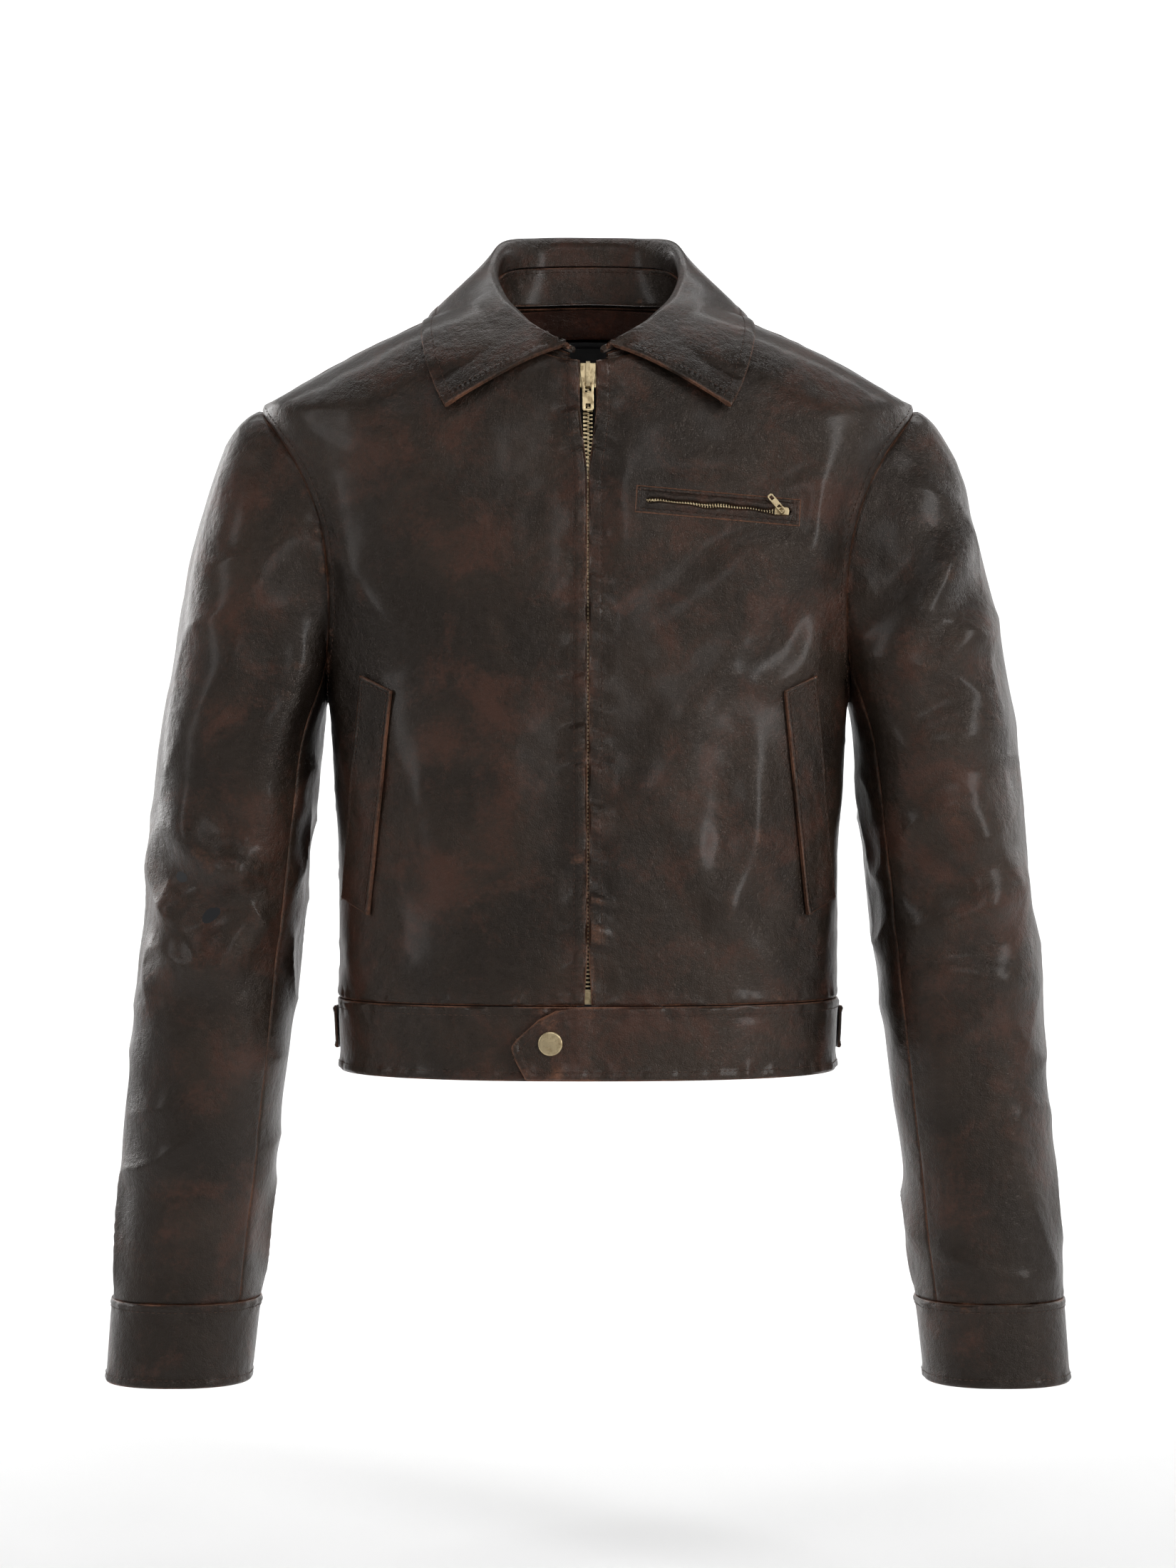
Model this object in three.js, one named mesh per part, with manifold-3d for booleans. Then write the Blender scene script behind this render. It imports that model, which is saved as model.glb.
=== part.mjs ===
// A cropped leather riding jacket, as sewn pieces: body panels, yoke, two-piece sleeves, collar, bands, cuffs,
// linings, zips, pockets, snap tabs and snaps. Millimetres, +Z up, the front faces -Y, wearer's left is +X.
// The origin is the middle of the neck opening, at the height where the shoulders meet the neck.
import * as THREE from 'three';
import { mergeVertices } from 'three/addons/utils/BufferGeometryUtils.js';
import Module from 'manifold-3d';

const wasm = await Module();
wasm.setup();

// ---- Driving dimensions ----
const BODY_LENGTH = 494; // neck point to hem
const BAND_HEIGHT = 46; // waistband
const CHEST_HALF_WIDTH = 165;
const HEM_HALF_WIDTH = 158;
const SHOULDER_HALF_WIDTH = 211;
const SHOULDER_DROP = 70; // neck point to the top of the armhole
const UNDERARM_DROP = 255; // neck point to the underarm
const NECK_HALF_WIDTH = 72;
const NECK_FRONT_DROP = 48; // neck point to the top of the front zip
const FRONT_TOP_Y = -84; // front line at the neck
const FRONT_HEM_Y = -122; // front line at the hem
const BACK_DEPTH = 113; // body centre to the shoulder blades
const SLEEVE_LENGTH = 622; // armhole top to cuff edge, measured straight down
const SLEEVE_WIDTH = 104;
const CUFF_WIDTH = 91;
const CUFF_HEIGHT = 51;
const SLEEVE_LEAN = 0.109; // how far the sleeve stands out from the body per unit of drop
const LEATHER = 2; // one wall: leather with its backing
const BAND_THICKNESS = 3; // two leathers and their backing
const LINING = 0.8;
const SEAM_GAP = 0.3; // between pieces that are sewn together
const LINING_DEPTH = 9; // from the outside of the leather to the lining
const STAND_HEIGHT = 47; // collar, at the back
const LEAF_HEIGHT = 54; // collar, at the back
const COLLAR_POINT = new THREE.Vector3(88, -93, -79);
const ZIP_BEAD_WIDTH = 6; // the closed teeth
const ZIP_BEAD_THICKNESS = 2.4;
const ZIP_TAPE_HALF_WIDTH = 16;
const TAPE = 0.8;
const SLIDER_WIDTH = 10;
const SLIDER_HEIGHT = 15.5;
const PULL_LENGTH = 18;
const PULL_WIDTH = 7;
const FIT = 0.5; // running clearance of moving metal
const CHEST_POCKET_LENGTH = 104;
const CHEST_POCKET_HEIGHT = 17;
const CHEST_POCKET_X = 81; // its middle
const CHEST_POCKET_Z = -139;
const HAND_POCKET_LENGTH = 145;
const HAND_POCKET_WIDTH = 19;
const HAND_POCKET_RISE = 50; // its lower end, above the waistband
const SNAP_CAP = 15; // diameter
const SNAP_STUD = 9;
const SNAP_POST = 3.2;
const SNAP_NIPPLE = 4.4;
const SNAP_SOCKET = 11;
const SNAP_STACK = 2.7; // gap between a closed tab and the band under it
const TAB_THICKNESS = 2;

const { degToRad, lerp, clamp, smoothstep } = THREE.MathUtils;
const V = (x, y, z) => new THREE.Vector3(x, y, z);

// ---- Materials ----
const leather = new THREE.MeshStandardMaterial({ color: 0x2b1a13, roughness: 0.5, metalness: 0 });
const redLeather = new THREE.MeshStandardMaterial({ color: 0x4a2418, roughness: 0.55, metalness: 0 });
const satin = new THREE.MeshStandardMaterial({ color: 0x0b0b0d, roughness: 0.6, metalness: 0 });
const tape = new THREE.MeshStandardMaterial({ color: 0x14100e, roughness: 0.9, metalness: 0 });
const brass = new THREE.MeshStandardMaterial({ color: 0xb29a63, roughness: 0.35, metalness: 1 });

const jacket = new THREE.Group();

function add(name, geometry, material) {
  const mesh = new THREE.Mesh(geometry, material);
  mesh.name = name;
  jacket.add(mesh);
  return mesh;
}

// ---- Closed solids from surfaces ----
function signedVolume(points, triangles) {
  let total = 0;
  for (let i = 0; i < triangles.length; i += 3) {
    const [a, b, c] = [0, 1, 2].map((k) => points[triangles[i + k]]);
    total += a.dot(b.clone().cross(c));
  }
  return total / 6;
}

function solidGeometry(points, triangles) {
  if (signedVolume(points, triangles) < 0) {
    triangles.reverse();
  }
  const geometry = new THREE.BufferGeometry();
  geometry.setAttribute('position', new THREE.Float32BufferAttribute(points.flatMap((p) => p.toArray()), 3));
  geometry.setIndex(triangles);
  return geometry;
}

// A wall of a given thickness. surface(u, v, out) gives a point, `out` mm outside of the base surface.
// columns and rows list the values of u and v; a closed wall joins its last column to its first.
function wall(surface, columns, rows, outer, thickness, closed = false) {
  const points = [];
  const triangles = [];
  const columnCount = columns.length;
  const layerSize = columnCount * rows.length;
  for (const out of [outer, outer - thickness]) {
    for (const v of rows) {
      for (const u of columns) {
        points.push(surface(u, v, out));
      }
    }
  }
  const at = (layer, row, column) => layer * layerSize + row * columnCount + (column % columnCount);
  const quad = (a, b, c, d) => triangles.push(a, b, c, a, c, d);
  const spans = closed ? columnCount : columnCount - 1;
  const top = rows.length - 1;
  for (let i = 0; i < spans; i += 1) {
    for (let j = 0; j < top; j += 1) {
      quad(at(0, j, i), at(0, j, i + 1), at(0, j + 1, i + 1), at(0, j + 1, i));
      quad(at(1, j, i), at(1, j + 1, i), at(1, j + 1, i + 1), at(1, j, i + 1));
    }
    quad(at(0, 0, i), at(1, 0, i), at(1, 0, i + 1), at(0, 0, i + 1));
    quad(at(0, top, i), at(0, top, i + 1), at(1, top, i + 1), at(1, top, i));
  }
  if (!closed) {
    const right = columnCount - 1;
    for (let j = 0; j < top; j += 1) {
      quad(at(0, j, 0), at(0, j + 1, 0), at(1, j + 1, 0), at(1, j, 0));
      quad(at(0, j, right), at(1, j, right), at(1, j + 1, right), at(0, j + 1, right));
    }
  }
  return solidGeometry(points, triangles);
}

const steps = (count, from = 0, to = 1) => Array.from({ length: count + 1 }, (_, i) => lerp(from, to, i / count));

function mirrored(geometry) {
  const points = [];
  const position = geometry.getAttribute('position');
  for (let i = 0; i < position.count; i += 1) {
    points.push(V(-position.getX(i), position.getY(i), position.getZ(i)));
  }
  return solidGeometry(points, Array.from(geometry.getIndex().array));
}

// ---- Joining and cutting ----
function toSolid(geometry) {
  const bare = new THREE.BufferGeometry();
  bare.setAttribute('position', geometry.getAttribute('position').clone());
  if (geometry.getIndex()) {
    bare.setIndex(Array.from(geometry.getIndex().array));
  }
  const merged = mergeVertices(bare, 1e-4);
  return new wasm.Manifold(new wasm.Mesh({
    numProp: 3,
    vertProperties: new Float32Array(merged.getAttribute('position').array),
    triVerts: new Uint32Array(merged.getIndex().array),
  }));
}

function toGeometry(solid) {
  const mesh = solid.getMesh();
  const geometry = new THREE.BufferGeometry();
  geometry.setAttribute('position', new THREE.BufferAttribute(new Float32Array(mesh.vertProperties), 3));
  geometry.setIndex(new THREE.BufferAttribute(new Uint32Array(mesh.triVerts), 1));
  return geometry;
}

function cut(geometry, ...tools) {
  return toGeometry(tools.reduce((solid, tool) => solid.subtract(toSolid(tool)), toSolid(geometry)));
}

const join = (...geometries) => toGeometry(geometries.map(toSolid).reduce((a, b) => a.add(b)));

// A box given by its lowest and highest corners.
function block(x0, x1, y0, y1, z0, z1) {
  const geometry = new THREE.BoxGeometry(x1 - x0, y1 - y0, z1 - z0);
  return geometry.translate((x0 + x1) / 2, (y0 + y1) / 2, (z0 + z1) / 2);
}

// ---- Smooth curves through chosen values ----
function through(values, t) {
  const last = values.length - 1;
  const i = clamp(Math.floor(t), 0, last - 1);
  const f = t - i;
  const [a, b] = [values[i], values[i + 1]];
  const before = i > 0 ? values[i - 1] : 2 * a - b;
  const after = i + 2 <= last ? values[i + 2] : 2 * b - a;
  const slopeA = (b - before) / 2;
  const slopeB = (after - a) / 2;
  const [f2, f3] = [f * f, f * f * f];
  return (2 * f3 - 3 * f2 + 1) * a + (f3 - 2 * f2 + f) * slopeA + (3 * f2 - 2 * f3) * b + (f3 - f2) * slopeB;
}

// ---- The body's surface ----
// Rings run round the body at ten levels: hem, waistband top, three up to the chest, underarm, mid armhole,
// armhole top, mid shoulder, neck. phi is 0 at the front, 90 at the wearer's left side and 180 at the back.
const HEM = 0;
const BAND_TOP = 1;
const UNDERARM = 5;
const MID_ARMHOLE = 6;
const ARMHOLE_TOP = 7;
const NECK = 9;
const hemZ = -BODY_LENGTH;
const bandTopZ = hemZ + BAND_HEIGHT;
const trunk = (share, top) => lerp(bandTopZ, top, share);
const frontUnderarmZ = -UNDERARM_DROP + 10;
const backUnderarmZ = -UNDERARM_DROP + 20;
const sideZ = [hemZ, bandTopZ, trunk(0.25, -UNDERARM_DROP), trunk(0.53, -UNDERARM_DROP),
  trunk(0.81, -UNDERARM_DROP), -UNDERARM_DROP, lerp(-UNDERARM_DROP, -SHOULDER_DROP, 0.51), -SHOULDER_DROP];
const shoulderZ = [-SHOULDER_DROP, -SHOULDER_DROP * 0.5, 0];
const frontZ = [hemZ, bandTopZ, trunk(0.24, frontUnderarmZ), trunk(0.51, frontUnderarmZ),
  trunk(0.77, frontUnderarmZ), frontUnderarmZ, -185, -128, -88, -NECK_FRONT_DROP];
const backZ = [hemZ, bandTopZ, trunk(0.22, backUnderarmZ), trunk(0.48, backUnderarmZ),
  trunk(0.74, backUnderarmZ), backUnderarmZ, -160, -80, -32, 5];
const sideX = [HEM_HALF_WIDTH, HEM_HALF_WIDTH + 2, HEM_HALF_WIDTH + 2.5, lerp(HEM_HALF_WIDTH, CHEST_HALF_WIDTH, 0.5),
  CHEST_HALF_WIDTH, CHEST_HALF_WIDTH + 3, CHEST_HALF_WIDTH + 19, SHOULDER_HALF_WIDTH];
const shoulderX = [SHOULDER_HALF_WIDTH, lerp(NECK_HALF_WIDTH, SHOULDER_HALF_WIDTH, 0.56), NECK_HALF_WIDTH];
const sideY = [-10, -9, -8, -6, -4, -3, -1, 0, 0, 0];
const backY = [-21, -19, -16, -11, -5, -1, 0, -14, -31, -53].map((less) => BACK_DEPTH + less);
const roundness = [2.4, 2.4, 2.4, 2.45, 2.5, 2.55, 2.6, 2.6, 2.4, 2.2];

const frontLineSlope = (FRONT_HEM_Y - FRONT_TOP_Y) / (hemZ + NECK_FRONT_DROP);
const frontLineY = (z) => FRONT_TOP_Y + (z + NECK_FRONT_DROP) * frontLineSlope;

function plainBodyPoint(phi, level) {
  const [sin, cos] = [Math.sin(phi), Math.cos(phi)];
  const onShoulder = level > ARMHOLE_TOP;
  const halfWidth = onShoulder ? through(shoulderX, level - ARMHOLE_TOP) : through(sideX, level);
  const sideHeight = onShoulder ? through(shoulderZ, level - ARMHOLE_TOP) : through(sideZ, level);
  const middleHeight = through(cos > 0 ? frontZ : backZ, level);
  const centreY = through(sideY, level);
  const depth = cos > 0 ? centreY - frontLineY(middleHeight) : through(backY, level) - centreY;
  const power = through(roundness, level);
  const radius = (Math.abs(sin / halfWidth) ** power + Math.abs(cos / depth) ** power) ** (-1 / power);
  return V(radius * sin, centreY - radius * cos, lerp(middleHeight, sideHeight, sin * sin));
}

// The chest pocket's zip is straight, and it holds the leather round it flat.
const chestTilt = -0.077; // it drops towards the armhole
const [chestInnerY, chestMiddleY, chestOuterY] = [-0.5, 0, 0.5].map((share) => {
  const x = CHEST_POCKET_X + share * CHEST_POCKET_LENGTH;
  const [phi, level] = onSurface(plainBodyPoint, x, CHEST_POCKET_Z);
  return plainBodyPoint(phi, level).y;
});
const chestFlatY = 0.25 * chestInnerY + 0.5 * chestMiddleY + 0.25 * chestOuterY;
const chestFlatSlope = (chestOuterY - chestInnerY) / CHEST_POCKET_LENGTH;
function chestPlaneY(x, z) {
  return chestFlatY + (x - CHEST_POCKET_X) * chestFlatSlope + (z - CHEST_POCKET_Z) * frontLineSlope;
}

// The phi and level of a surface's front at a given x and z.
function onSurface(surface, x, z) {
  let [phi, level] = [Math.atan2(x, 110), clamp(6 + (z + 185) / 60, 0.5, 8.5)];
  for (let i = 0; i < 30; i += 1) {
    const here = surface(phi, level);
    const across = surface(phi + 1e-4, level).sub(here).divideScalar(1e-4);
    const up = surface(phi, level + 1e-4).sub(here).divideScalar(1e-4);
    const determinant = across.x * up.z - up.x * across.z;
    const [dx, dz] = [x - here.x, z - here.z];
    phi += 0.7 * (dx * up.z - up.x * dz) / determinant;
    level += 0.7 * (across.x * dz - dx * across.z) / determinant;
  }
  return [phi, level];
}

function baseBodyPoint(phi, level) {
  const point = plainBodyPoint(phi, level);
  const along = Math.abs(point.x - CHEST_POCKET_X) - CHEST_POCKET_LENGTH / 2;
  const across = Math.abs(point.z - CHEST_POCKET_Z) - CHEST_POCKET_HEIGHT / 2;
  const flat = (1 - smoothstep(along, 3, 14)) * (1 - smoothstep(across, 8, 40));
  if (flat > 0 && point.y < 0) {
    point.y = lerp(point.y, chestPlaneY(point.x, point.z), flat);
  }
  return point;
}

function bodyNormal(phi, level) {
  const step = 0.01;
  const lift = level > NECK - step ? NECK - step : level;
  const right = baseBodyPoint(phi + step, lift).sub(baseBodyPoint(phi - step, lift));
  const up = baseBodyPoint(phi, lift + step).sub(baseBodyPoint(phi, lift - step));
  return right.cross(up).normalize();
}

const bodyPoint = (phi, level, out = 0) => baseBodyPoint(phi, level).addScaledVector(bodyNormal(phi, level), out);

const onFront = (x, z) => onSurface(baseBodyPoint, x, z);

// The phi on a ring where the body reaches a given x, on the front or the back of the wearer's left side.
function phiAtX(x, level, from, to) {
  let [low, high] = [from, to];
  for (let i = 0; i < 40; i += 1) {
    const middle = (low + high) / 2;
    const rising = baseBodyPoint(to, level).x > baseBodyPoint(from, level).x;
    if ((baseBodyPoint(middle, level).x < x) === rising) {
      low = middle;
    } else {
      high = middle;
    }
  }
  return (low + high) / 2;
}

// ---- Seam lines on the body ----
const SIDE = Math.PI / 2;
const BACK = Math.PI;
const armholeFront = degToRad(18.2);
const armholeBack = degToRad(20);
const shoulderSeamForward = 9; // the yoke comes over the shoulder by this much
const armholeLevel = (turn) => MID_ARMHOLE + Math.cos(turn);
const armholePhi = (turn) => SIDE - Math.sin(turn) * (Math.sin(turn) > 0 ? armholeFront : armholeBack);
const armholeReach = (level) => Math.sqrt(Math.max(0, 1 - (level - MID_ARMHOLE) ** 2));
const shoulderPhi = (level) => SIDE - Math.atan(shoulderSeamForward / baseBodyPoint(SIDE, level).x);

function frontEdgePhi(level) {
  if (level <= UNDERARM) {
    return SIDE;
  }
  const armhole = SIDE - armholeFront * armholeReach(level);
  return level < ARMHOLE_TOP ? Math.min(armhole, shoulderPhi(ARMHOLE_TOP)) : shoulderPhi(level);
}

function backEdgePhi(level) {
  if (level <= UNDERARM) {
    return SIDE;
  }
  return level < ARMHOLE_TOP ? SIDE + armholeBack * armholeReach(level) : shoulderPhi(level);
}

const princessX = (level) => through([74, 75, 80, 86, 96, 106, 118, 127, 130, 130], level);
const princessPhi = (level) => phiAtX(princessX(level), level, SIDE, BACK);
const lipX = (level) => 1.9 + 3.6 * smoothstep(level, 7.3, 8.2);
const lipPhi = (level) => phiAtX(lipX(level), level, 0, SIDE);
const YOKE_SIDE = 6.7;
const YOKE_BACK = 6.93;
const yokeLevel = (share) => lerp(YOKE_SIDE, YOKE_BACK, Math.sin(share * SIDE)); // 0 armhole, 1 centre back

// A patch between two seams, trimmed by half a seam gap on every edge.
function patch(left, right, bottom, top) {
  return (u, v, out) => {
    const levelHere = (at) => lerp(bottom(u), top(u), at);
    const rise = bodyPoint(SIDE / 2, levelHere(1)).distanceTo(bodyPoint(SIDE / 2, levelHere(0)));
    const level = levelHere(clamp(v, SEAM_GAP / 2 / rise, 1 - SEAM_GAP / 2 / rise));
    const [from, to] = [left(level), right(level)];
    const width = bodyPoint(to, level).distanceTo(bodyPoint(from, level));
    const phi = lerp(from, to, clamp(u, SEAM_GAP / 2 / width, 1 - SEAM_GAP / 2 / width));
    return bodyPoint(phi, level, out);
  };
}

const always = (value) => () => value;

// ---- Body panels ----
const frontColumns = [0, 0.1, 0.21, 0.33, 0.45, 0.57, 0.69, 0.8, 0.9, 1];
const frontLevels = [1, 2, 3, 4, 5, 5.15, 5.5, 6, 6.35, 6.6, 6.85, 7, 7.3, 7.7, 8.2, 8.6, 9];
const frontRows = frontLevels.map((level) => (level - 1) / 8);
const frontPatch = patch(lipPhi, frontEdgePhi, always(BAND_TOP), always(NECK));
const frontWall = wall(frontPatch, frontColumns, frontRows, 0, LEATHER);

const backRows = [1, 2, 3, 4, 5, 5.15, 5.5, 6, 6.4, 6.7].map((level) => (level - 1) / 5.7);
const sideBackTop = (u) => yokeLevel(u * 0.45);
const middleBackTop = (u) => yokeLevel(lerp(0.45, 1, u));
const sideBack = wall(patch(backEdgePhi, princessPhi, always(BAND_TOP), sideBackTop), steps(4), backRows, 0, LEATHER);
const middleBackPatch = patch(princessPhi, always(BACK), always(BAND_TOP), middleBackTop);
const middleBack = wall(middleBackPatch, steps(4), backRows, 0, LEATHER);
add('left_side_back', sideBack, leather);
add('right_side_back', mirrored(sideBack), leather);
add('left_back_panel', middleBack, leather);
add('right_back_panel', mirrored(middleBack), leather);

// The yoke covers the shoulders in one piece. Its columns meet the back panels' columns along the yoke seam.
const yokeColumns = [];
for (const u of steps(4)) {
  const level = sideBackTop(u);
  yokeColumns.push([lerp(backEdgePhi(level), princessPhi(level), u), level]);
}
for (const u of steps(4).slice(1)) {
  const level = middleBackTop(u);
  yokeColumns.push([lerp(princessPhi(level), BACK, u), level]);
}
const yokeLefts = yokeColumns.length - 1;

function yokeSurface(column, v, out) {
  const k = column <= yokeLefts ? column : 2 * yokeLefts - column;
  const [phiBelow, levelBelow] = yokeColumns[k];
  const share = (phiBelow - backEdgePhi(levelBelow)) / (BACK - backEdgePhi(levelBelow));
  const rise = 90;
  const shift = k === 0 ? lerp(SEAM_GAP / 2, 0, v) : 0;
  const level = lerp(levelBelow, NECK, clamp(v, (SEAM_GAP / 2 + shift) / rise, 1));
  const edge = backEdgePhi(level) + (k === 0 ? SEAM_GAP / 2 / 140 : 0);
  const point = bodyPoint(lerp(edge, BACK, share), level, out);
  return column <= yokeLefts ? point : V(-point.x, point.y, point.z);
}
const yokeRowLevels = [6.7, 6.85, 6.96, 7, 7.5, 8, 8.5, 9];
const yokeRows = yokeRowLevels.map((level) => (level - YOKE_SIDE) / (NECK - YOKE_SIDE));
add('back_yoke', wall(yokeSurface, steps(2 * yokeLefts, 0, 2 * yokeLefts), yokeRows, 0, LEATHER), leather);

// ---- Waistband ----
const bandOut = 0.5;
const frontStep = (u) => 2 * (1 - smoothstep(u, 0, 0.6)); // the wearer's left side laps over at the front
const bandTrim = (level) => clamp(level, 0, BAND_TOP - SEAM_GAP / BAND_HEIGHT);
const TAB_ROOT_X = 6; // where the waist tab starts to lift
const leftBandStart = (level) => phiAtX(TAB_ROOT_X + SEAM_GAP, level, 0, SIDE);
const rightBandStart = (level) => phiAtX(1, level, 0, SIDE);
const sideEnd = always(SIDE);

function bandSurface(left, right, lap) {
  return (u, v, out) => {
    const level = bandTrim(v);
    const trim = 0.0015;
    return bodyPoint(lerp(left(level), right(level), clamp(u, trim, 1 - trim)), level, out + lap(u));
  };
}
const bandRows = [0, 0.5, 1];
const leftBandSurface = bandSurface(leftBandStart, sideEnd, frontStep);
const leftBand = wall(leftBandSurface, frontColumns, bandRows, bandOut, BAND_THICKNESS);
const rightBand = mirrored(wall(bandSurface(rightBandStart, sideEnd, always(0)), frontColumns, bandRows, bandOut,
  BAND_THICKNESS));

function backBandSurface(u, v, out) {
  const level = bandTrim(v);
  return bodyPoint(lerp(SIDE + 0.0015, 2 * BACK - SIDE - 0.0015, u), level, out);
}
const backBand = wall(backBandSurface, steps(18), bandRows, bandOut, BAND_THICKNESS);

// ---- Snaps ----
// Local axes: +Z points out of the leather. The origin is on the outer face of the leather under the tab.
function turned(profile, segments) {
  const points = profile.map(([radius, height]) => new THREE.Vector2(radius, height));
  return new THREE.LatheGeometry(points, segments).rotateX(Math.PI / 2);
}
const capFloor = SNAP_STACK + TAB_THICKNESS;
const capProfile = [[0, SNAP_STACK - 0.35], [SNAP_NIPPLE / 2 + FIT, SNAP_STACK - 0.35],
  [SNAP_NIPPLE / 2 + FIT, 0.95 + FIT / 2], [SNAP_SOCKET / 2, 0.95 + FIT / 2], [SNAP_SOCKET / 2, SNAP_STACK - 0.25],
  [SNAP_POST / 2, SNAP_STACK - 0.25], [SNAP_POST / 2, capFloor + 0.3], [SNAP_CAP / 2, capFloor + 0.3],
  [SNAP_CAP / 2 - 0.4, capFloor + 1.3], [SNAP_CAP / 4, capFloor + 2], [0, capFloor + 2.1]];
const studBack = -BAND_THICKNESS - 0.9;
const studProfile = [[0, studBack], [SNAP_STUD / 2, studBack], [SNAP_STUD / 2, studBack + 0.6],
  [SNAP_POST / 2, studBack + 0.6], [SNAP_POST / 2, 0.3], [SNAP_STUD / 2, 0.3], [SNAP_STUD / 2, 0.9],
  [SNAP_NIPPLE / 2 - 0.4, 0.9], [SNAP_NIPPLE / 2, SNAP_STACK - 1], [SNAP_NIPPLE / 2 - 0.5, SNAP_STACK - 0.65],
  [0, SNAP_STACK - 0.65]];
// The holes for the posts, with flats for the flanges to sit on where the leather curves.
const bored = (radius, low, high) => new THREE.CylinderGeometry(radius, radius, high - low, 16)
  .rotateX(Math.PI / 2).translate(0, 0, (low + high) / 2);
const snapHole = bored(SNAP_POST / 2 + 0.3, -12, 12);
const bandTools = [snapHole, bored(SNAP_STUD / 2 + 0.4, -12, studBack + 0.9), bored(SNAP_STUD / 2 + 0.4, 0.05, 12)];
const tabTools = [snapHole, bored(SNAP_SOCKET / 2 + 0.4, -12, SNAP_STACK), bored(SNAP_CAP / 2 + 0.4, capFloor, 12)];

function placement(origin, outward) {
  const turn = new THREE.Quaternion().setFromUnitVectors(V(0, 0, 1), outward);
  return new THREE.Matrix4().compose(origin, turn, V(1, 1, 1));
}

function addPlaced(name, geometry, material, place) {
  const mesh = add(name, geometry, material);
  place.decompose(mesh.position, mesh.quaternion, mesh.scale);
  return mesh;
}

const addCap = (name, place) => addPlaced(name, turned(capProfile, 12), brass, place);
const addStud = (name, place) => addPlaced(name, turned(studProfile, 8), brass, place);
const punched = (geometry, tools, ...places) => cut(geometry,
  ...places.flatMap((place) => tools.map((tool) => tool.clone().applyMatrix4(place))));
const mirrorPlace = (place) => {
  const flip = new THREE.Matrix4().makeScale(-1, 1, 1);
  return flip.clone().multiply(place).multiply(flip);
};

// ---- Waist tab ----
const TAB_LENGTH = 52; // root to tip
const WAIST_CAP_X = -23;
const waistSnapLevel = 0.5;
function mirroredFront(x, level, out) {
  const point = bodyPoint(phiAtX(Math.abs(x), level, 0, SIDE), level, out);
  return V(Math.sign(x) * point.x, point.y, point.z);
}
const waistSnap = placement(mirroredFront(WAIST_CAP_X, waistSnapLevel, bandOut), V(0, -1, 0.08).normalize());

function tabSurface(u, v, out) {
  const x = lerp(TAB_ROOT_X, TAB_ROOT_X - TAB_LENGTH, u);
  const narrowing = smoothstep(u, 0.62, 1);
  const level = lerp(0.02 + 0.3 * narrowing ** 2, 0.97 - 0.5 * narrowing, v);
  const drop = lerp(level, 0.45, 0.55 * narrowing);
  return mirroredFront(x, drop, out);
}
const tabFace = bandOut + SNAP_STACK + TAB_THICKNESS;
const waistTab = wall(tabSurface, [0, 0.2, 0.4, 0.62, 0.8, 0.92, 1], steps(3), tabFace, TAB_THICKNESS);
add('waist_tab', punched(waistTab, tabTools, waistSnap), leather);
addCap('waist_snap_cap', waistSnap);
addStud('waist_snap_stud', waistSnap);

// ---- Side tabs on the waistband ----
const SIDE_TAB_ROOT = degToRad(93);
const SIDE_TAB_LENGTH = 64;
const SIDE_TAB_HEIGHT = 27;
const SIDE_SNAP_BACK = 14; // cap centre, from the tip
const SPARE_STUD_STEP = 25; // from the cap to the spare stud
const ringSpeed = (phi) => bodyPoint(phi + 0.01, 0.55).distanceTo(bodyPoint(phi, 0.55)) / 0.01;
function phiAlong(phi, distance) {
  let at = phi;
  for (let i = 0; i < 64; i += 1) {
    at += distance / 64 / ringSpeed(at);
  }
  return at;
}
const sideTabMiddle = 0.55;
function sideTabSurface(u, v, out) {
  const phi = phiAlong(SIDE_TAB_ROOT, u * SIDE_TAB_LENGTH);
  const half = SIDE_TAB_HEIGHT / 2 / BAND_HEIGHT * (1 - 0.85 * smoothstep(u, 0.72, 1));
  return bodyPoint(phi, sideTabMiddle + lerp(-half, half, v), out);
}
function onBand(phi) {
  return placement(bodyPoint(phi, sideTabMiddle, bandOut), bodyNormal(phi, sideTabMiddle));
}
const sideSnap = onBand(phiAlong(SIDE_TAB_ROOT, SIDE_TAB_LENGTH - SIDE_SNAP_BACK));
const spareStud = onBand(phiAlong(SIDE_TAB_ROOT, SIDE_TAB_LENGTH - SIDE_SNAP_BACK + SPARE_STUD_STEP));
const sideTabWall = wall(sideTabSurface, [0, 0.18, 0.36, 0.54, 0.72, 0.86, 1], steps(2), tabFace, TAB_THICKNESS);
const sideTab = punched(sideTabWall, tabTools, sideSnap);
add('left_side_tab', sideTab, leather);
add('right_side_tab', mirrored(sideTab), leather);
addCap('left_side_snap_cap', sideSnap);
addCap('right_side_snap_cap', mirrorPlace(sideSnap));
addStud('left_side_stud', sideSnap);
addStud('right_side_stud', mirrorPlace(sideSnap));
addStud('left_spare_stud', spareStud);
addStud('right_spare_stud', mirrorPlace(spareStud));
add('left_band', leftBand, leather);
add('right_band', punched(rightBand, bandTools, waistSnap), leather);
const backSnaps = [sideSnap, spareStud, mirrorPlace(sideSnap), mirrorPlace(spareStud)];
add('back_band', punched(backBand, bandTools, ...backSnaps), leather);

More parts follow.
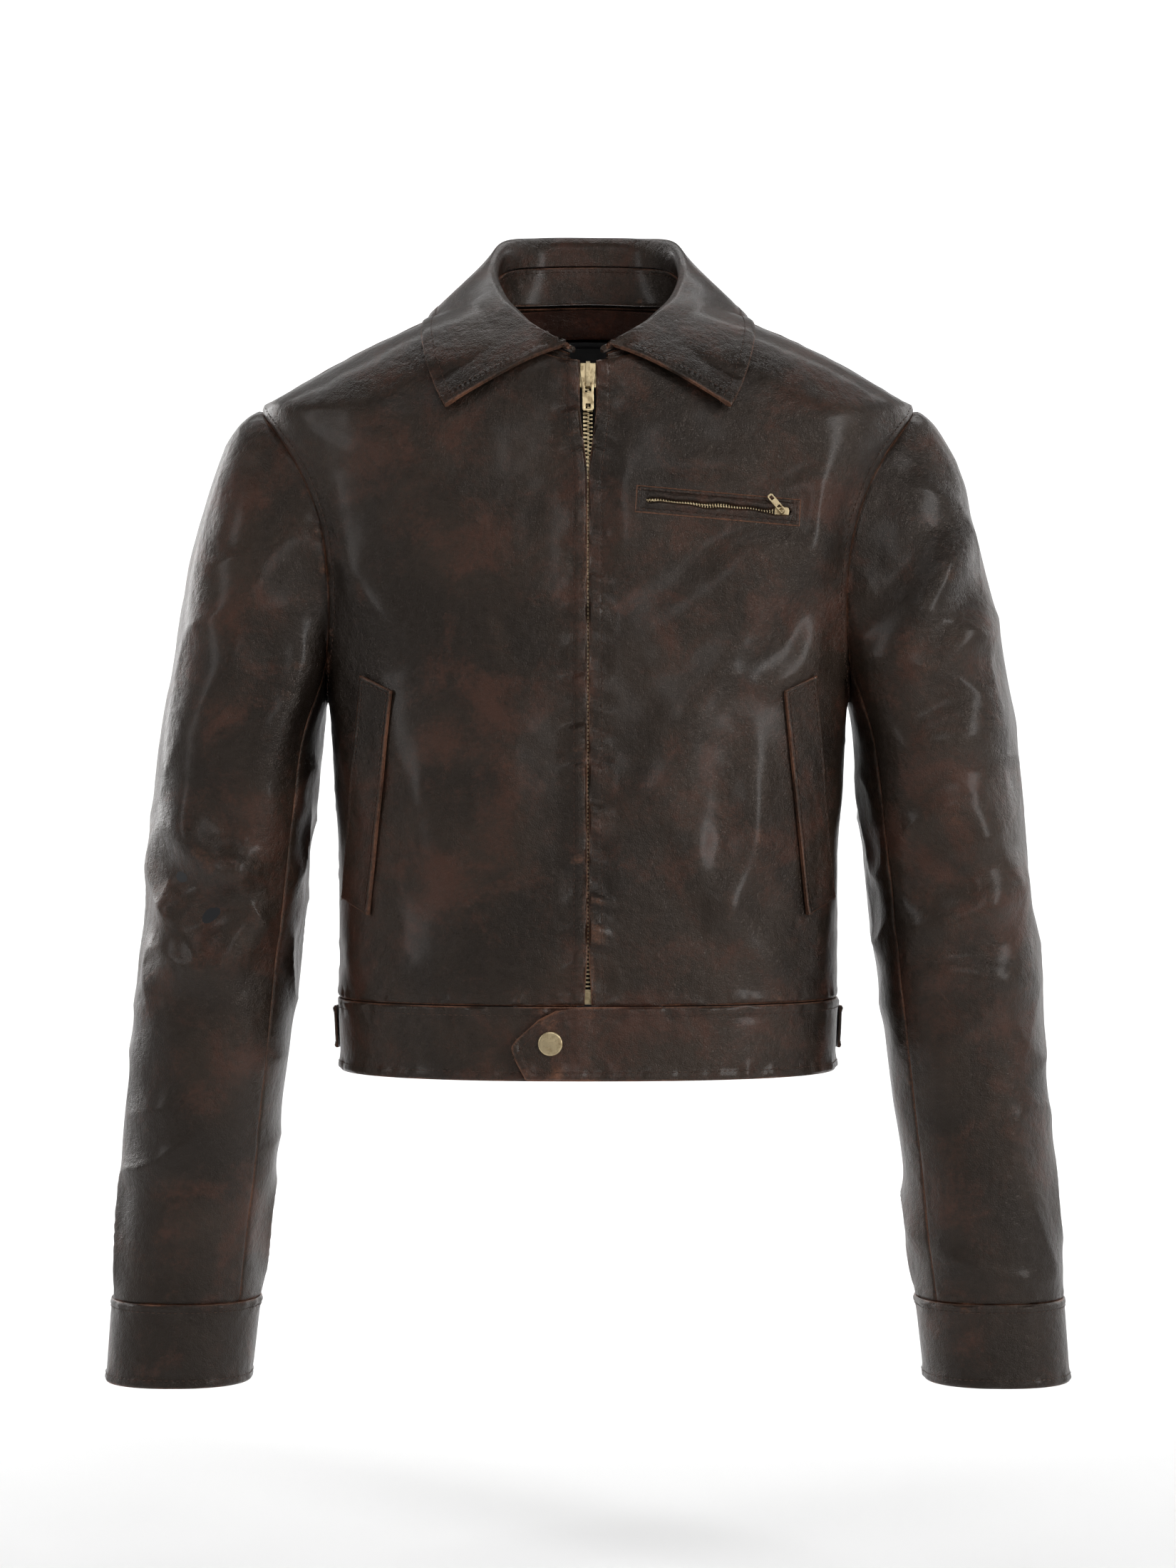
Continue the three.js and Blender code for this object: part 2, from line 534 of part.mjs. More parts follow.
// ---- Sleeves ----
// turn is 0 on top of the shoulder, 90 at the front, 180 under the arm and 270 at the back.
const underarmX = CHEST_HALF_WIDTH + 3;
const capDepth = 205; // below the armhole's top, where the sleeve hangs free
const cuffEdgeZ = -SHOULDER_DROP - SLEEVE_LENGTH;
const cuffShare = CUFF_HEIGHT / SLEEVE_LENGTH;
const outerDrop = [0, 0.065, 0.195, 0.33, 0.45, 0.58, 0.69, 0.8, 1 - cuffShare, 1];
const innerShare = CUFF_HEIGHT / (SLEEVE_LENGTH + SHOULDER_DROP - UNDERARM_DROP);
const innerDrop = [0, 0.05, 0.115, 0.21, 0.32, 0.44, 0.57, 0.72, 1 - innerShare, 1];
const sleeveY = [0, 0, -1, -2, -4, -7, -11, -15, -19, -22];
const sleeveDepth = [59, 63, 65, 64, 60, 56, 52, 48, 45, 44];
const CUFF_START = 8;
const CUFF_END = 9;

const innerZ = (ring) => lerp(-UNDERARM_DROP, cuffEdgeZ, through(innerDrop, ring));
const innerX = (z) => underarmX + 0.8 + SLEEVE_LEAN * (-UNDERARM_DROP - z);
const outerZ = (ring) => lerp(-SHOULDER_DROP, cuffEdgeZ, through(outerDrop, ring));
const freeWidth = (z) => lerp(SLEEVE_WIDTH, CUFF_WIDTH, clamp((-UNDERARM_DROP - z) / 437, 0, 1) ** 1.6);
const freeOuterX = (z) => innerX(z) + freeWidth(z);
function outerX(z) {
  const bottom = -SHOULDER_DROP - capDepth;
  if (z < bottom) {
    return freeOuterX(z);
  }
  const share = Math.sqrt(clamp((-SHOULDER_DROP - z) / capDepth, 0, 1));
  return lerp(SHOULDER_HALF_WIDTH, freeOuterX(bottom), share);
}

function baseSleevePoint(turn, ring) {
  const [cos, sin] = [Math.cos(turn), Math.sin(turn)];
  const outer = V(outerX(outerZ(ring)), 0, outerZ(ring));
  const inner = V(innerX(innerZ(ring)), 0, innerZ(ring));
  const middle = outer.clone().add(inner).multiplyScalar(0.5);
  const half = outer.clone().sub(inner).multiplyScalar(0.5);
  const round = (Math.abs(cos) ** 2.3 + Math.abs(sin) ** 2.3) ** (-1 / 2.3);
  const point = middle.addScaledVector(half, cos * round);
  point.y = through(sleeveY, ring) - through(sleeveDepth, ring) * sin * round;
  const free = smoothstep(ring, 0, 2);
  if (free < 1) {
    const atArmhole = bodyPoint(armholePhi(turn), armholeLevel(turn), 1);
    point.lerp(atArmhole.add(point.clone().sub(sleeveStart(turn))), 1 - free);
  }
  return point;
}

function sleeveStart(turn) {
  const [cos, sin] = [Math.cos(turn), Math.sin(turn)];
  const outer = V(outerX(outerZ(0)), 0, outerZ(0));
  const inner = V(innerX(innerZ(0)), 0, innerZ(0));
  const round = (Math.abs(cos) ** 2.3 + Math.abs(sin) ** 2.3) ** (-1 / 2.3);
  const start = outer.clone().add(inner).multiplyScalar(0.5);
  start.addScaledVector(outer.sub(inner).multiplyScalar(0.5), cos * round);
  start.y = sleeveY[0] - sleeveDepth[0] * sin * round;
  return start;
}

function sleevePoint(turn, ring, out = 0) {
  const step = 0.02;
  const around = baseSleevePoint(turn - step, ring).sub(baseSleevePoint(turn + step, ring));
  const [above, below] = [Math.max(ring - step, 0), Math.min(ring + step, CUFF_END)];
  const up = baseSleevePoint(turn, above).sub(baseSleevePoint(turn, below));
  return baseSleevePoint(turn, ring).addScaledVector(around.cross(up).normalize(), out);
}

const FRONT_SEAM = degToRad(140);
const backSeam = (ring, twist) => degToRad(281 + twist * smoothstep(ring, 3, 8));
const seamTurn = 0.0035;
const sleeveRings = [0.035, 0.3, 0.65, 1.1, 1.6, 2.3, 3, 4, 5, 6, 7, 7.94];

function sleevePanel(fromTurn, toTurn) {
  return (u, ring, out) => {
    const [from, to] = [fromTurn(ring), toTurn(ring)];
    return sleevePoint(lerp(from + seamTurn, to - seamTurn, u), ring, out);
  };
}

function buildSleeve(side, twist, flip) {
  const seam = (ring) => backSeam(ring, twist);
  const upper = sleevePanel((ring) => seam(ring) - 2 * Math.PI, always(FRONT_SEAM));
  const under = sleevePanel(always(FRONT_SEAM), seam);
  add(`${side}_upper_sleeve`, flip(wall(upper, steps(9), sleeveRings, 0, LEATHER)), leather);
  add(`${side}_under_sleeve`, flip(wall(under, steps(6), sleeveRings, 0, LEATHER)), leather);
  const lining = (u, ring, out) => sleevePoint(u, ring, out);
  const liningTurns = steps(14, 0, 2 * Math.PI).slice(0, -1);
  const liningRings = [0.6, 1.2, 2, 3, 4.5, 6, 7.4];
  add(`${side}_sleeve_lining`, flip(wall(lining, liningTurns, liningRings, -5, LINING, true)), satin);

  // The cuff's two ends meet at the vent; the tab laps over them.
  const vent = seam(CUFF_START);
  const cuffTurn = (u) => vent + seamTurn + u * (2 * Math.PI - 2 * seamTurn);
  const cuffSurface = (u, ring, out) => sleevePoint(cuffTurn(u), ring, out);
  const cuffRows = [CUFF_START + 0.02, CUFF_END];
  const cuff = wall(cuffSurface, steps(18), cuffRows, 0.8, BAND_THICKNESS);
  const rootTurn = vent + 0.36;
  const tipTurn = vent - 0.5;
  const cuffTab = (u, v, out) => {
    const point = smoothstep(u, 0.62, 1);
    const ring = lerp(CUFF_START + 0.06 + 0.62 * point, CUFF_END - 0.02 - 0.22 * point, v);
    return sleevePoint(lerp(rootTurn, tipTurn, u), ring, out);
  };
  const snapTurn = lerp(rootTurn, tipTurn, 0.5);
  const snapRing = CUFF_START + 0.58;
  const snapOut = sleevePoint(snapTurn, snapRing, 5).sub(sleevePoint(snapTurn, snapRing, 4)).normalize();
  const snap = placement(sleevePoint(snapTurn, snapRing, 0.8), snapOut);
  const tabOut = 0.8 + SNAP_STACK + TAB_THICKNESS;
  const tabWall = wall(cuffTab, [0, 0.2, 0.4, 0.6, 0.8, 1], steps(2), tabOut, TAB_THICKNESS);
  const place = side === 'left' ? snap : mirrorPlace(snap);
  add(`${side}_cuff`, flip(punched(cuff, bandTools, snap)), leather);
  add(`${side}_cuff_tab`, flip(punched(tabWall, tabTools, snap)), leather);
  addCap(`${side}_cuff_snap_cap`, place);
  addStud(`${side}_cuff_stud`, place);
}
buildSleeve('left', 29, (geometry) => geometry);
buildSleeve('right', 0, mirrored);

// ---- Collar ----
// share runs from 0 at the centre back to 1 at the centre front. The stand rises from the neck seam to the roll;
// the leaf starts part-way up it, turns over the roll and falls outside to its free edge.
const standTopY = BACK_DEPTH - 47;
const rollPoints = [V(0, standTopY, 52), V(32, 62, 51), V(54, 38, 44), V(58, 6, 22), V(52, -24, 2), V(41, -47, -13),
  V(28, -66, -28), V(11, -84, -41)];
const edgePoints = [V(0, 88, -3), V(40, 86, -4), V(80, 70, -5), V(101, 14, -7), V(103, -22, -22), V(102, -52, -42),
  V(96, -80, -63), COLLAR_POINT];
rollPoints[0].z = 5 + STAND_HEIGHT;
edgePoints[0].z = rollPoints[0].z - LEAF_HEIGHT - 1;
const throughPoints = (points, t) => V(...['x', 'y', 'z'].map((axis) => through(points.map((p) => p[axis]), t)));
function collarLine(points, share) {
  const t = Math.abs(share) * (points.length - 1);
  const mirrorFirst = [V(-points[1].x, points[1].y, points[1].z), ...points];
  const point = throughPoints(mirrorFirst, t + 1);
  return V(Math.sign(share) * Math.abs(point.x), point.y, point.z);
}
const neckShareToPhi = (share) => Math.PI - share * (Math.PI - lipPhi(NECK));
// At the back the stand sits on the yoke's edge; towards the front it moves inside and then drops.
function neckLine(share) {
  const inset = lerp(-1, -LEATHER - 1.7, smoothstep(Math.abs(share), 0.28, 0.46));
  const lift = lerp(2.1, -1, smoothstep(Math.abs(share), 0.46, 0.7));
  return bodyPoint(neckShareToPhi(share), NECK, inset).add(V(0, 0, lift));
}
const rollLine = (share) => collarLine(rollPoints, share);
const edgeLine = (share) => collarLine(edgePoints, share);
const STAND_SEAM = 0.56; // of the stand's height, where the leaf is sewn on
const STAND_SEAM_GAP = 1.6;
const COLLAR_THICKNESS = 2.2;

// A sheet that follows a line of points for each share, with the given thickness.
function sheet(pathAt, shares, count) {
  const layers = [1, -1].map((sign) => (share, k) => {
    const path = pathAt(share);
    const before = pathAt(Math.max(share - 0.01, -1));
    const after = pathAt(Math.min(share + 0.01, 1));
    const along = path[Math.min(k + 1, count - 1)].clone().sub(path[Math.max(k - 1, 0)]);
    const across = after[k].clone().sub(before[k]);
    return path[k].clone().addScaledVector(along.cross(across).normalize(), sign * COLLAR_THICKNESS / 2);
  });
  return wall((share, k, out) => layers[out > 0 ? 0 : 1](share, k), shares, steps(count - 1, 0, count - 1), 1, 2);
}

function standPath(share) {
  const [low, high] = [neckLine(share), rollLine(share)];
  const trim = STAND_SEAM_GAP * (0.5 + 2 * share * share) / low.distanceTo(high);
  return [0, 0.28, STAND_SEAM - trim].map((f) => low.clone().lerp(high, f));
}

function leafPath(share) {
  const [low, roll, edge] = [neckLine(share), rollLine(share), edgeLine(share)];
  const fall = edge.clone().sub(roll);
  const outward = V(fall.x, fall.y, 0).normalize();
  const rise = Math.min(4, roll.distanceTo(low) * 0.3);
  const start = low.clone().lerp(roll, STAND_SEAM + STAND_SEAM_GAP / 2 / low.distanceTo(roll));
  const shoulder = roll.clone().addScaledVector(outward, rise);
  const steepness = smoothstep(-fall.z / fall.length(), 0.45, 0.85); // 1 at the back, 0 where it lies on the chest
  const below = roll.clone().addScaledVector(outward, 2.1 * rise).add(V(0, 0, lerp(1, -rise, steepness)));
  const bulge = (f, more) => below.clone().lerp(edge, f).addScaledVector(outward, more * steepness)
    .add(V(0, 0, more * (1 - steepness)));
  return [start, low.clone().lerp(roll, 0.86), shoulder, below, bulge(0.3, 3), bulge(0.65, 2.5), edge];
}
// The leaf lies on the shoulders and the chest, never in them.
const shoulderSamples = [];
for (const phi of steps(60, 0, Math.PI)) {
  for (const level of steps(24, 6.8, NECK)) {
    shoulderSamples.push([bodyPoint(phi, level), bodyNormal(phi, level)]);
  }
}
const COLLAR_REST = COLLAR_THICKNESS / 2 + 1.2;
function restingOnBody(point) {
  const near = V(Math.abs(point.x), point.y, point.z);
  const distance = ([at]) => at.distanceToSquared(near);
  const [at, normal] = shoulderSamples.reduce((best, sample) => (distance(sample) < distance(best) ? sample : best));
  const height = near.clone().sub(at).dot(normal);
  if (height >= COLLAR_REST) {
    return point;
  }
  near.addScaledVector(normal, COLLAR_REST - height);
  return V(Math.sign(point.x) * near.x, near.y, near.z);
}
const restingLeaf = (share) => leafPath(share).map((point, k) => (k < 3 ? point : restingOnBody(point)));
add('collar_stand', sheet(standPath, steps(24, -0.97, 0.97), 3), leather);
add('collar_leaf', sheet(restingLeaf, steps(26, -0.985, 0.985), 7), leather);

// ---- Front zip ----
// Local axes: X across, +Y out of the jacket's front, +Z up along the zip. Depths count inwards from the lips' face.
const zipTop = V(0, FRONT_TOP_Y, -NECK_FRONT_DROP - 1);
const zipTurn = Math.atan(frontLineSlope);
const zipPlace = new THREE.Matrix4().makeRotationX(-zipTurn).setPosition(zipTop);
const zipLength = (-NECK_FRONT_DROP - 1 - bandTopZ - 1) / Math.cos(zipTurn);
const plateDepth = LEATHER + 0.4;
const plateThickness = 1.2;
const beadDepth = plateDepth + plateThickness + 0.35;
const tapeDepth = beadDepth + ZIP_BEAD_THICKNESS;
const boxHeight = 8;

function zipHalf(sign) {
  const [near, far] = [SEAM_GAP / 2, ZIP_TAPE_HALF_WIDTH];
  const body = block(near, far, tapeDepth, tapeDepth + TAPE, -zipLength, -1);
  const bead = block(near, ZIP_BEAD_WIDTH / 2, beadDepth, tapeDepth + 0.1, -zipLength + boxHeight + 0.4,
    -SLIDER_HEIGHT * 0.35);
  const half = join(body, bead);
  return sign > 0 ? half : mirrored(half);
}
addPlaced('left_zip_half', zipHalf(1), tape, zipPlace);
addPlaced('right_zip_half', zipHalf(-1), tape, zipPlace);
const boxHalf = ZIP_BEAD_WIDTH / 2 + 0.8;
addPlaced('zip_box', block(-boxHalf, boxHalf, beadDepth - 0.3, tapeDepth - SEAM_GAP, -zipLength,
  -zipLength + boxHeight), brass, zipPlace);

function crownAndPlate(halfWidth, height, plateFrom, plateTo, crownHalf, crownOut, leg) {
  const plate = block(-halfWidth, halfWidth, plateFrom, plateTo, -height, 0);
  const topLeg = block(-crownHalf, crownHalf, crownOut, plateFrom + 0.1, -0.5 - leg, -0.5);
  const bottomLeg = block(-crownHalf, crownHalf, crownOut, plateFrom + 0.1, -height, -height + leg);
  const bar = block(-crownHalf, crownHalf, crownOut, crownOut + 1.1, -height, -0.5);
  return join(plate, topLeg, bottomLeg, bar);
}
const crownDepth = -3.1; // it stands this far out of the lips
const flangeInner = ZIP_BEAD_WIDTH / 2 + FIT;
const flange = block(flangeInner, SLIDER_WIDTH / 2, plateDepth + plateThickness - 0.1,
  tapeDepth - 0.35, -SLIDER_HEIGHT, 0);
const slider = join(crownAndPlate(SLIDER_WIDTH / 2, SLIDER_HEIGHT, plateDepth, plateDepth + plateThickness, 1.3,
  crownDepth, 1.4), flange, mirrored(flange));
addPlaced('main_slider', slider, brass, zipPlace);

// The pull is a plate with a window round the crown. Its local origin is the hinge's axis.
const pullDepth = -1;
const hingeDrop = SLIDER_HEIGHT - 2.4;
const pullHalf = 0.6;
const pullWindow = 6.4;
const pull = cut(block(-PULL_WIDTH / 2, PULL_WIDTH / 2, -pullHalf, pullHalf, -PULL_LENGTH, pullHalf),
  block(-2, 2, -2, 2, -pullWindow, -pullHalf), block(-1.6, 1.6, -2, 2, -PULL_LENGTH + 1.4, -PULL_LENGTH + 4.4));
const pullPlace = zipPlace.clone().multiply(new THREE.Matrix4().makeTranslation(0, pullDepth, -hingeDrop));
addPlaced('main_pull', pull, brass, pullPlace);

// ---- Facings and linings ----
const FACING_WIDTH = 45;
const facingDepth = tapeDepth + TAPE + 1.7;
const facingPhi = (x) => (level) => phiAtX(x, level, 0, SIDE);
const facingPatch = patch(facingPhi(7), facingPhi(FACING_WIDTH), always(HEM + 0.08), always(NECK));
const facingRows = steps(12);
const facing = wall(facingPatch, steps(2), facingRows, -facingDepth, 1.4);
add('left_facing', facing, leather);
add('right_facing', mirrored(facing), leather);
const armholeEase = degToRad(5);
const liningLow = HEM + 0.08;
const frontLiningRight = (level) => frontEdgePhi(level) - (level > 4.6 ? armholeEase : 0);
const backLiningLeft = (level) => (level > ARMHOLE_TOP ? SIDE - armholeEase / 2 : backEdgePhi(level)
  + (level > 4.6 ? armholeEase : 0));
const frontLiningPatch = patch(facingPhi(FACING_WIDTH + 2), frontLiningRight, always(liningLow), always(8.9));
const liningLevels = [liningLow, 1, 2, 3, 4, 4.7, 5.3, 6, 6.4, 6.7, 7, 7.3, 7.7, 8.2, 8.9];
const liningRows = liningLevels.map((level) => (level - liningLow) / (8.9 - liningLow));
const frontLining = wall(frontLiningPatch, steps(5), liningRows, -LINING_DEPTH, LINING);
add('left_front_lining', frontLining, satin);
add('right_front_lining', mirrored(frontLining), satin);
const BACK_FACING_LEVEL = 8.55;
function backLiningSurface(u, v, out) {
  const level = lerp(liningLow, BACK_FACING_LEVEL - 0.05, v);
  const left = backLiningLeft(level);
  return bodyPoint(lerp(left, 2 * BACK - left, u), level, out);
}
add('back_lining', wall(backLiningSurface, steps(12), liningRows, -LINING_DEPTH, LINING), satin);
function backFacingSurface(u, v, out) {
  const level = lerp(BACK_FACING_LEVEL, 8.97, v);
  const left = backLiningLeft(level);
  return bodyPoint(lerp(left, 2 * BACK - left, u), level, out);
}
add('back_neck_facing', wall(backFacingSurface, steps(14), steps(2), -LINING_DEPTH + 3, 1.4), redLeather);
const labelSurface = (u, v, out) => bodyPoint(lerp(BACK - 0.5, BACK + 0.5, u), lerp(7.75, 8.4, v), out);
add('neck_label', wall(labelSurface, steps(6), steps(1), -LINING_DEPTH - LINING - 1.2, 0.6), tape);

// ---- Chest pocket, on the wearer's left ----
// Local axes: X along the zip, +Y into the jacket, Z up across it. The origin is on the leather's outer face.
const chestAlong = V(1, chestFlatSlope + chestTilt * frontLineSlope, chestTilt).normalize();
const chestUp = V(0, frontLineSlope, 1);
const chestInward = chestUp.clone().cross(chestAlong).normalize();
const chestAcross = chestAlong.clone().cross(chestInward).normalize();
const chestOrigin = V(CHEST_POCKET_X, chestPlaneY(CHEST_POCKET_X, CHEST_POCKET_Z), CHEST_POCKET_Z);
const chestPlace = new THREE.Matrix4().makeBasis(chestAlong, chestInward, chestAcross).setPosition(chestOrigin);
const pocketHalf = CHEST_POCKET_LENGTH / 2;
const windowHalf = pocketHalf - 6;
const windowHigh = 3.7;
const slot = block(-windowHalf, windowHalf, -6, 6, -windowHigh, windowHigh);
const frameHigh = CHEST_POCKET_HEIGHT / 2;
const frameBlock = block(-pocketHalf, pocketHalf, -2, -2 * SEAM_GAP, -frameHigh, frameHigh);
addPlaced('chest_pocket_frame', cut(frameBlock, slot), leather, chestPlace);
const chestTapeDepth = LEATHER + 0.9;
const chestBeadDepth = 0.8;
const chestZip = join(
  block(-pocketHalf + 3, pocketHalf - 4.5, chestTapeDepth, chestTapeDepth + TAPE, -7, 7),
  block(-windowHalf + 1, windowHalf - 1, chestBeadDepth, chestTapeDepth + 0.1, -1.8, 1.8));
addPlaced('chest_zip', chestZip, tape, chestPlace);
const chestSliderX = windowHalf - 6; // its middle, when closed
const lugHalf = 0.7;
const lugReach = 4.2;
const lugTurn = new THREE.Matrix4().makeRotationY(degToRad(45));
const lugTop = -3.2;
const lug = block(-1.5, 1.5, lugTop - 1.4, 0, -lugHalf, lugHalf).applyMatrix4(lugTurn);
const lugHole = new THREE.CylinderGeometry(0.85, 0.85, 4, 12).rotateX(Math.PI / 2).translate(0, lugTop, 0)
  .applyMatrix4(lugTurn);
const chestSlider = cut(join(block(-4.5, 4.5, -0.6, 0.45, -3.3, 3.3), lug), lugHole).translate(chestSliderX, 0, 0);
addPlaced('chest_slider', chestSlider, brass, chestPlace);
const chestPullLength = 13;
const forkSlot = block(-lugReach, 3, -2, 2, -lugHalf - 0.35, lugHalf + 0.35);
const forkHole = block(-chestPullLength + 1.2, -chestPullLength + 4, -2, 2, -1, 1);
const fork = cut(block(-chestPullLength, 1.1, -0.5, 0.5, -2, 2), forkSlot, forkHole);
const forkPin = new THREE.CylinderGeometry(0.45, 0.45, 3, 8).rotateX(Math.PI / 2);
const chestPull = join(fork, forkPin);
const chestPullPlace = chestPlace.clone().multiply(new THREE.Matrix4().makeTranslation(chestSliderX, lugTop, 0))
  .multiply(lugTurn);
addPlaced('chest_pull', chestPull, brass, chestPullPlace);
const CHEST_BAG_DEPTH = 75;
function chestBagSurface(u, v, out) {
  const x = CHEST_POCKET_X + lerp(-pocketHalf + 20, pocketHalf - 6, u);
  const z = CHEST_POCKET_Z + lerp(-CHEST_BAG_DEPTH, 5, v) + chestTilt * (x - CHEST_POCKET_X);
  const [phi, level] = onFront(x, z);
  return bodyPoint(phi, level, out);
}
const bagInset = -LEATHER - 2.6;
add('chest_pocket_bag', wall(chestBagSurface, steps(4), steps(5), bagInset, 1.6), satin);

// The tool that cuts the zip's slot out of the left front.
const chestSlot = slot.clone().applyMatrix4(chestPlace);

// ---- Hand pockets ----
// A welt lies on each front and covers the bag's slit. Its outer edge is the mouth.
const weltX = (share) => lerp(145.3, 132, share); // its middle, from the lower end to the upper end
const WELT_SLANT = 10; // its outer edge sits this much higher than its inner edge
function weltSurface(u, v, out) {
  const z = bandTopZ + HAND_POCKET_RISE + 4 + v * (HAND_POCKET_LENGTH - 5) + WELT_SLANT * u;
  const [phi, level] = onFront(weltX(v) + HAND_POCKET_WIDTH * (u - 0.5), z);
  return bodyPoint(phi, level, out);
}
const weltWall = wall(weltSurface, steps(4), steps(7), SEAM_GAP + LEATHER + 0.6, LEATHER - 0.2);
add('left_hand_pocket_welt', weltWall, leather);
add('right_hand_pocket_welt', mirrored(weltWall), leather);
function bagSurface(u, v, out) {
  const z = bandTopZ + 14 + v * (HAND_POCKET_LENGTH + 26);
  const [phi, level] = onFront(lerp(58, 138 - 8 * v, u), z);
  return bodyPoint(phi, level, out);
}
const bagWall = wall(bagSurface, steps(5), steps(6), bagInset, 1.6);
add('left_hand_pocket_bag', bagWall, satin);
add('right_hand_pocket_bag', mirrored(bagWall), satin);
function slitSurface(u, v, out) {
  const z = bandTopZ + HAND_POCKET_RISE + 10 + v * (HAND_POCKET_LENGTH - 20);
  const [phi, level] = onFront(weltX(v) + lerp(-2.5, 2.5, u), z);
  return bodyPoint(phi, level, out);
}
const slit = wall(slitSurface, steps(1), steps(6), 5, 12);
add('left_front', cut(frontWall, chestSlot, slit), leather);
add('right_front', cut(mirrored(frontWall), mirrored(slit)), leather);

export default jacket;
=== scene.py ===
"""A cropped leather riding jacket: its leather, linings, zips, snaps and stitching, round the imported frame.

Shapes are worked out in millimetres and become metres when a mesh is made. +Z is up, the front faces -Y
and the wearer's left is +X. The origin is the middle of the neck opening.
"""

import math

import bmesh
import bpy
import numpy as np
from mathutils import Matrix, Vector


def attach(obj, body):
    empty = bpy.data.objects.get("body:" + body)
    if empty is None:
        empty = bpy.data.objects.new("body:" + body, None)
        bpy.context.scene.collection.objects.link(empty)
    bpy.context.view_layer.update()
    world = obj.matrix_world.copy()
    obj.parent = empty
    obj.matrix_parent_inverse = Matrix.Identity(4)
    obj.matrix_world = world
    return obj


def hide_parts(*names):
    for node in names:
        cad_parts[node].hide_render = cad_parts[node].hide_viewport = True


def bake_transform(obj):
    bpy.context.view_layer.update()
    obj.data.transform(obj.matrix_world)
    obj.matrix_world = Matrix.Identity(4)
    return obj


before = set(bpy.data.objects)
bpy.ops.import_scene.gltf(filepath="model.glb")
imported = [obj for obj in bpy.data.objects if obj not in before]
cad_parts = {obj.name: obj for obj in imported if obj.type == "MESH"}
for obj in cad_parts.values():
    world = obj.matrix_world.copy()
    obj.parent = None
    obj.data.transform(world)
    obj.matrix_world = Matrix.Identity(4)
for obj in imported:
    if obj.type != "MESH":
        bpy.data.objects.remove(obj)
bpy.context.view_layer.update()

MM = 0.001

# ---- Sizes ----
BODY_LENGTH = 494
BAND_HEIGHT = 46
CHEST_HALF_WIDTH = 165
HEM_HALF_WIDTH = 158
SHOULDER_HALF_WIDTH = 211
SHOULDER_DROP = 70
UNDERARM_DROP = 255
NECK_HALF_WIDTH = 72
NECK_FRONT_DROP = 48
FRONT_TOP_Y = -84
FRONT_HEM_Y = -122
BACK_DEPTH = 113
SLEEVE_LENGTH = 622
SLEEVE_WIDTH = 104
CUFF_WIDTH = 91
CUFF_HEIGHT = 51
SLEEVE_LEAN = 0.109
STAND_HEIGHT = 47
LEAF_HEIGHT = 54
COLLAR_POINT = (88, -93, -79)
CHEST_POCKET_LENGTH = 104
CHEST_POCKET_HEIGHT = 17
CHEST_POCKET_X = 81
CHEST_POCKET_Z = -139
CHEST_TILT = -0.077
SNAP_STACK = 2.7  # from the leather under a closed tab to the tab
TAB_THICKNESS = 2
BAND_OUT = 0.5
LEATHER_THICKNESS = 1.6
BAND_THICKNESS = 2.6
WELT_THICKNESS = 2.2
FACING_THICKNESS = 1.4
LINING_THICKNESS = 0.6
BAG_THICKNESS = 1.2
GRID_STEP = 1.9  # between the points of the leather's grids

# Levels up the body, from 0 at the hem and 1 at the waistband's top.
UNDERARM, ARMHOLE_TOP, NECK = 5, 7, 9
SIDE = math.pi / 2
BACK = math.pi


# ---- Numbers over arrays ----
def lerp(a, b, t):
    return a + (b - a) * t


def smooth(x, low, high):
    t = np.clip((np.asarray(x, float) - low) / (high - low), 0, 1)
    return t * t * (3 - 2 * t)


def through(values, t):
    """A smooth curve through evenly spaced values."""
    values = np.asarray(values, float)
    t = np.asarray(t, float)
    last = len(values) - 1
    i = np.clip(np.floor(t), 0, last - 1).astype(int)
    f = t - i
    a, b = values[i], values[i + 1]
    before = np.where(i > 0, values[np.maximum(i - 1, 0)], 2 * a - b)
    after = np.where(i + 2 <= last, values[np.minimum(i + 2, last)], 2 * b - a)
    slope_a, slope_b = (b - before) / 2, (after - a) / 2
    f2, f3 = f * f, f * f * f
    from_a = (2 * f3 - 3 * f2 + 1) * a + (f3 - 2 * f2 + f) * slope_a
    return from_a + (3 * f2 - 2 * f3) * b + (f3 - f2) * slope_b


def unit(vectors):
    return vectors / np.maximum(np.linalg.norm(vectors, axis=-1, keepdims=True), 1e-9)


def xyz(x, y, z):
    return np.stack(np.broadcast_arrays(x, y, z), axis=-1).astype(float)


LATTICE = 32


def noise(points, size, seed):
    """Smooth noise from 0 to 1, with lumps about `size` mm across."""
    table = np.random.RandomState(seed).rand(LATTICE, LATTICE, LATTICE)
    q = points / size + 100.37
    base = np.floor(q).astype(int)
    f = q - base
    f = f * f * (3 - 2 * f)
    total = 0
    for dx in (0, 1):
        for dy in (0, 1):
            for dz in (0, 1):
                corner = table[(base[..., 0] + dx) % LATTICE, (base[..., 1] + dy) % LATTICE,
                               (base[..., 2] + dz) % LATTICE]
                weight = 1
                for axis, step in enumerate((dx, dy, dz)):
                    weight = weight * (f[..., axis] if step else 1 - f[..., axis])
                total = total + corner * weight
    return total


def line_noise(along, size, seed):
    return noise(xyz(along, 0 * along, 0 * along), size, seed)


def ridges(points, direction, long, short, seed):
    """Folds that run along a direction: sharp crests, 0 to 1."""
    d = unit(np.asarray(direction, float))
    run = points @ d
    q = d * (run / long)[..., None] + (points - run[..., None] * d) / short
    return (1 - np.abs(2 * noise(q, 1, seed) - 1)) ** 2


# ---- The body's surface ----
HEM_Z = -BODY_LENGTH
BAND_TOP_Z = HEM_Z + BAND_HEIGHT


def trunk(shares, top):
    return [lerp(BAND_TOP_Z, top, share) for share in shares]


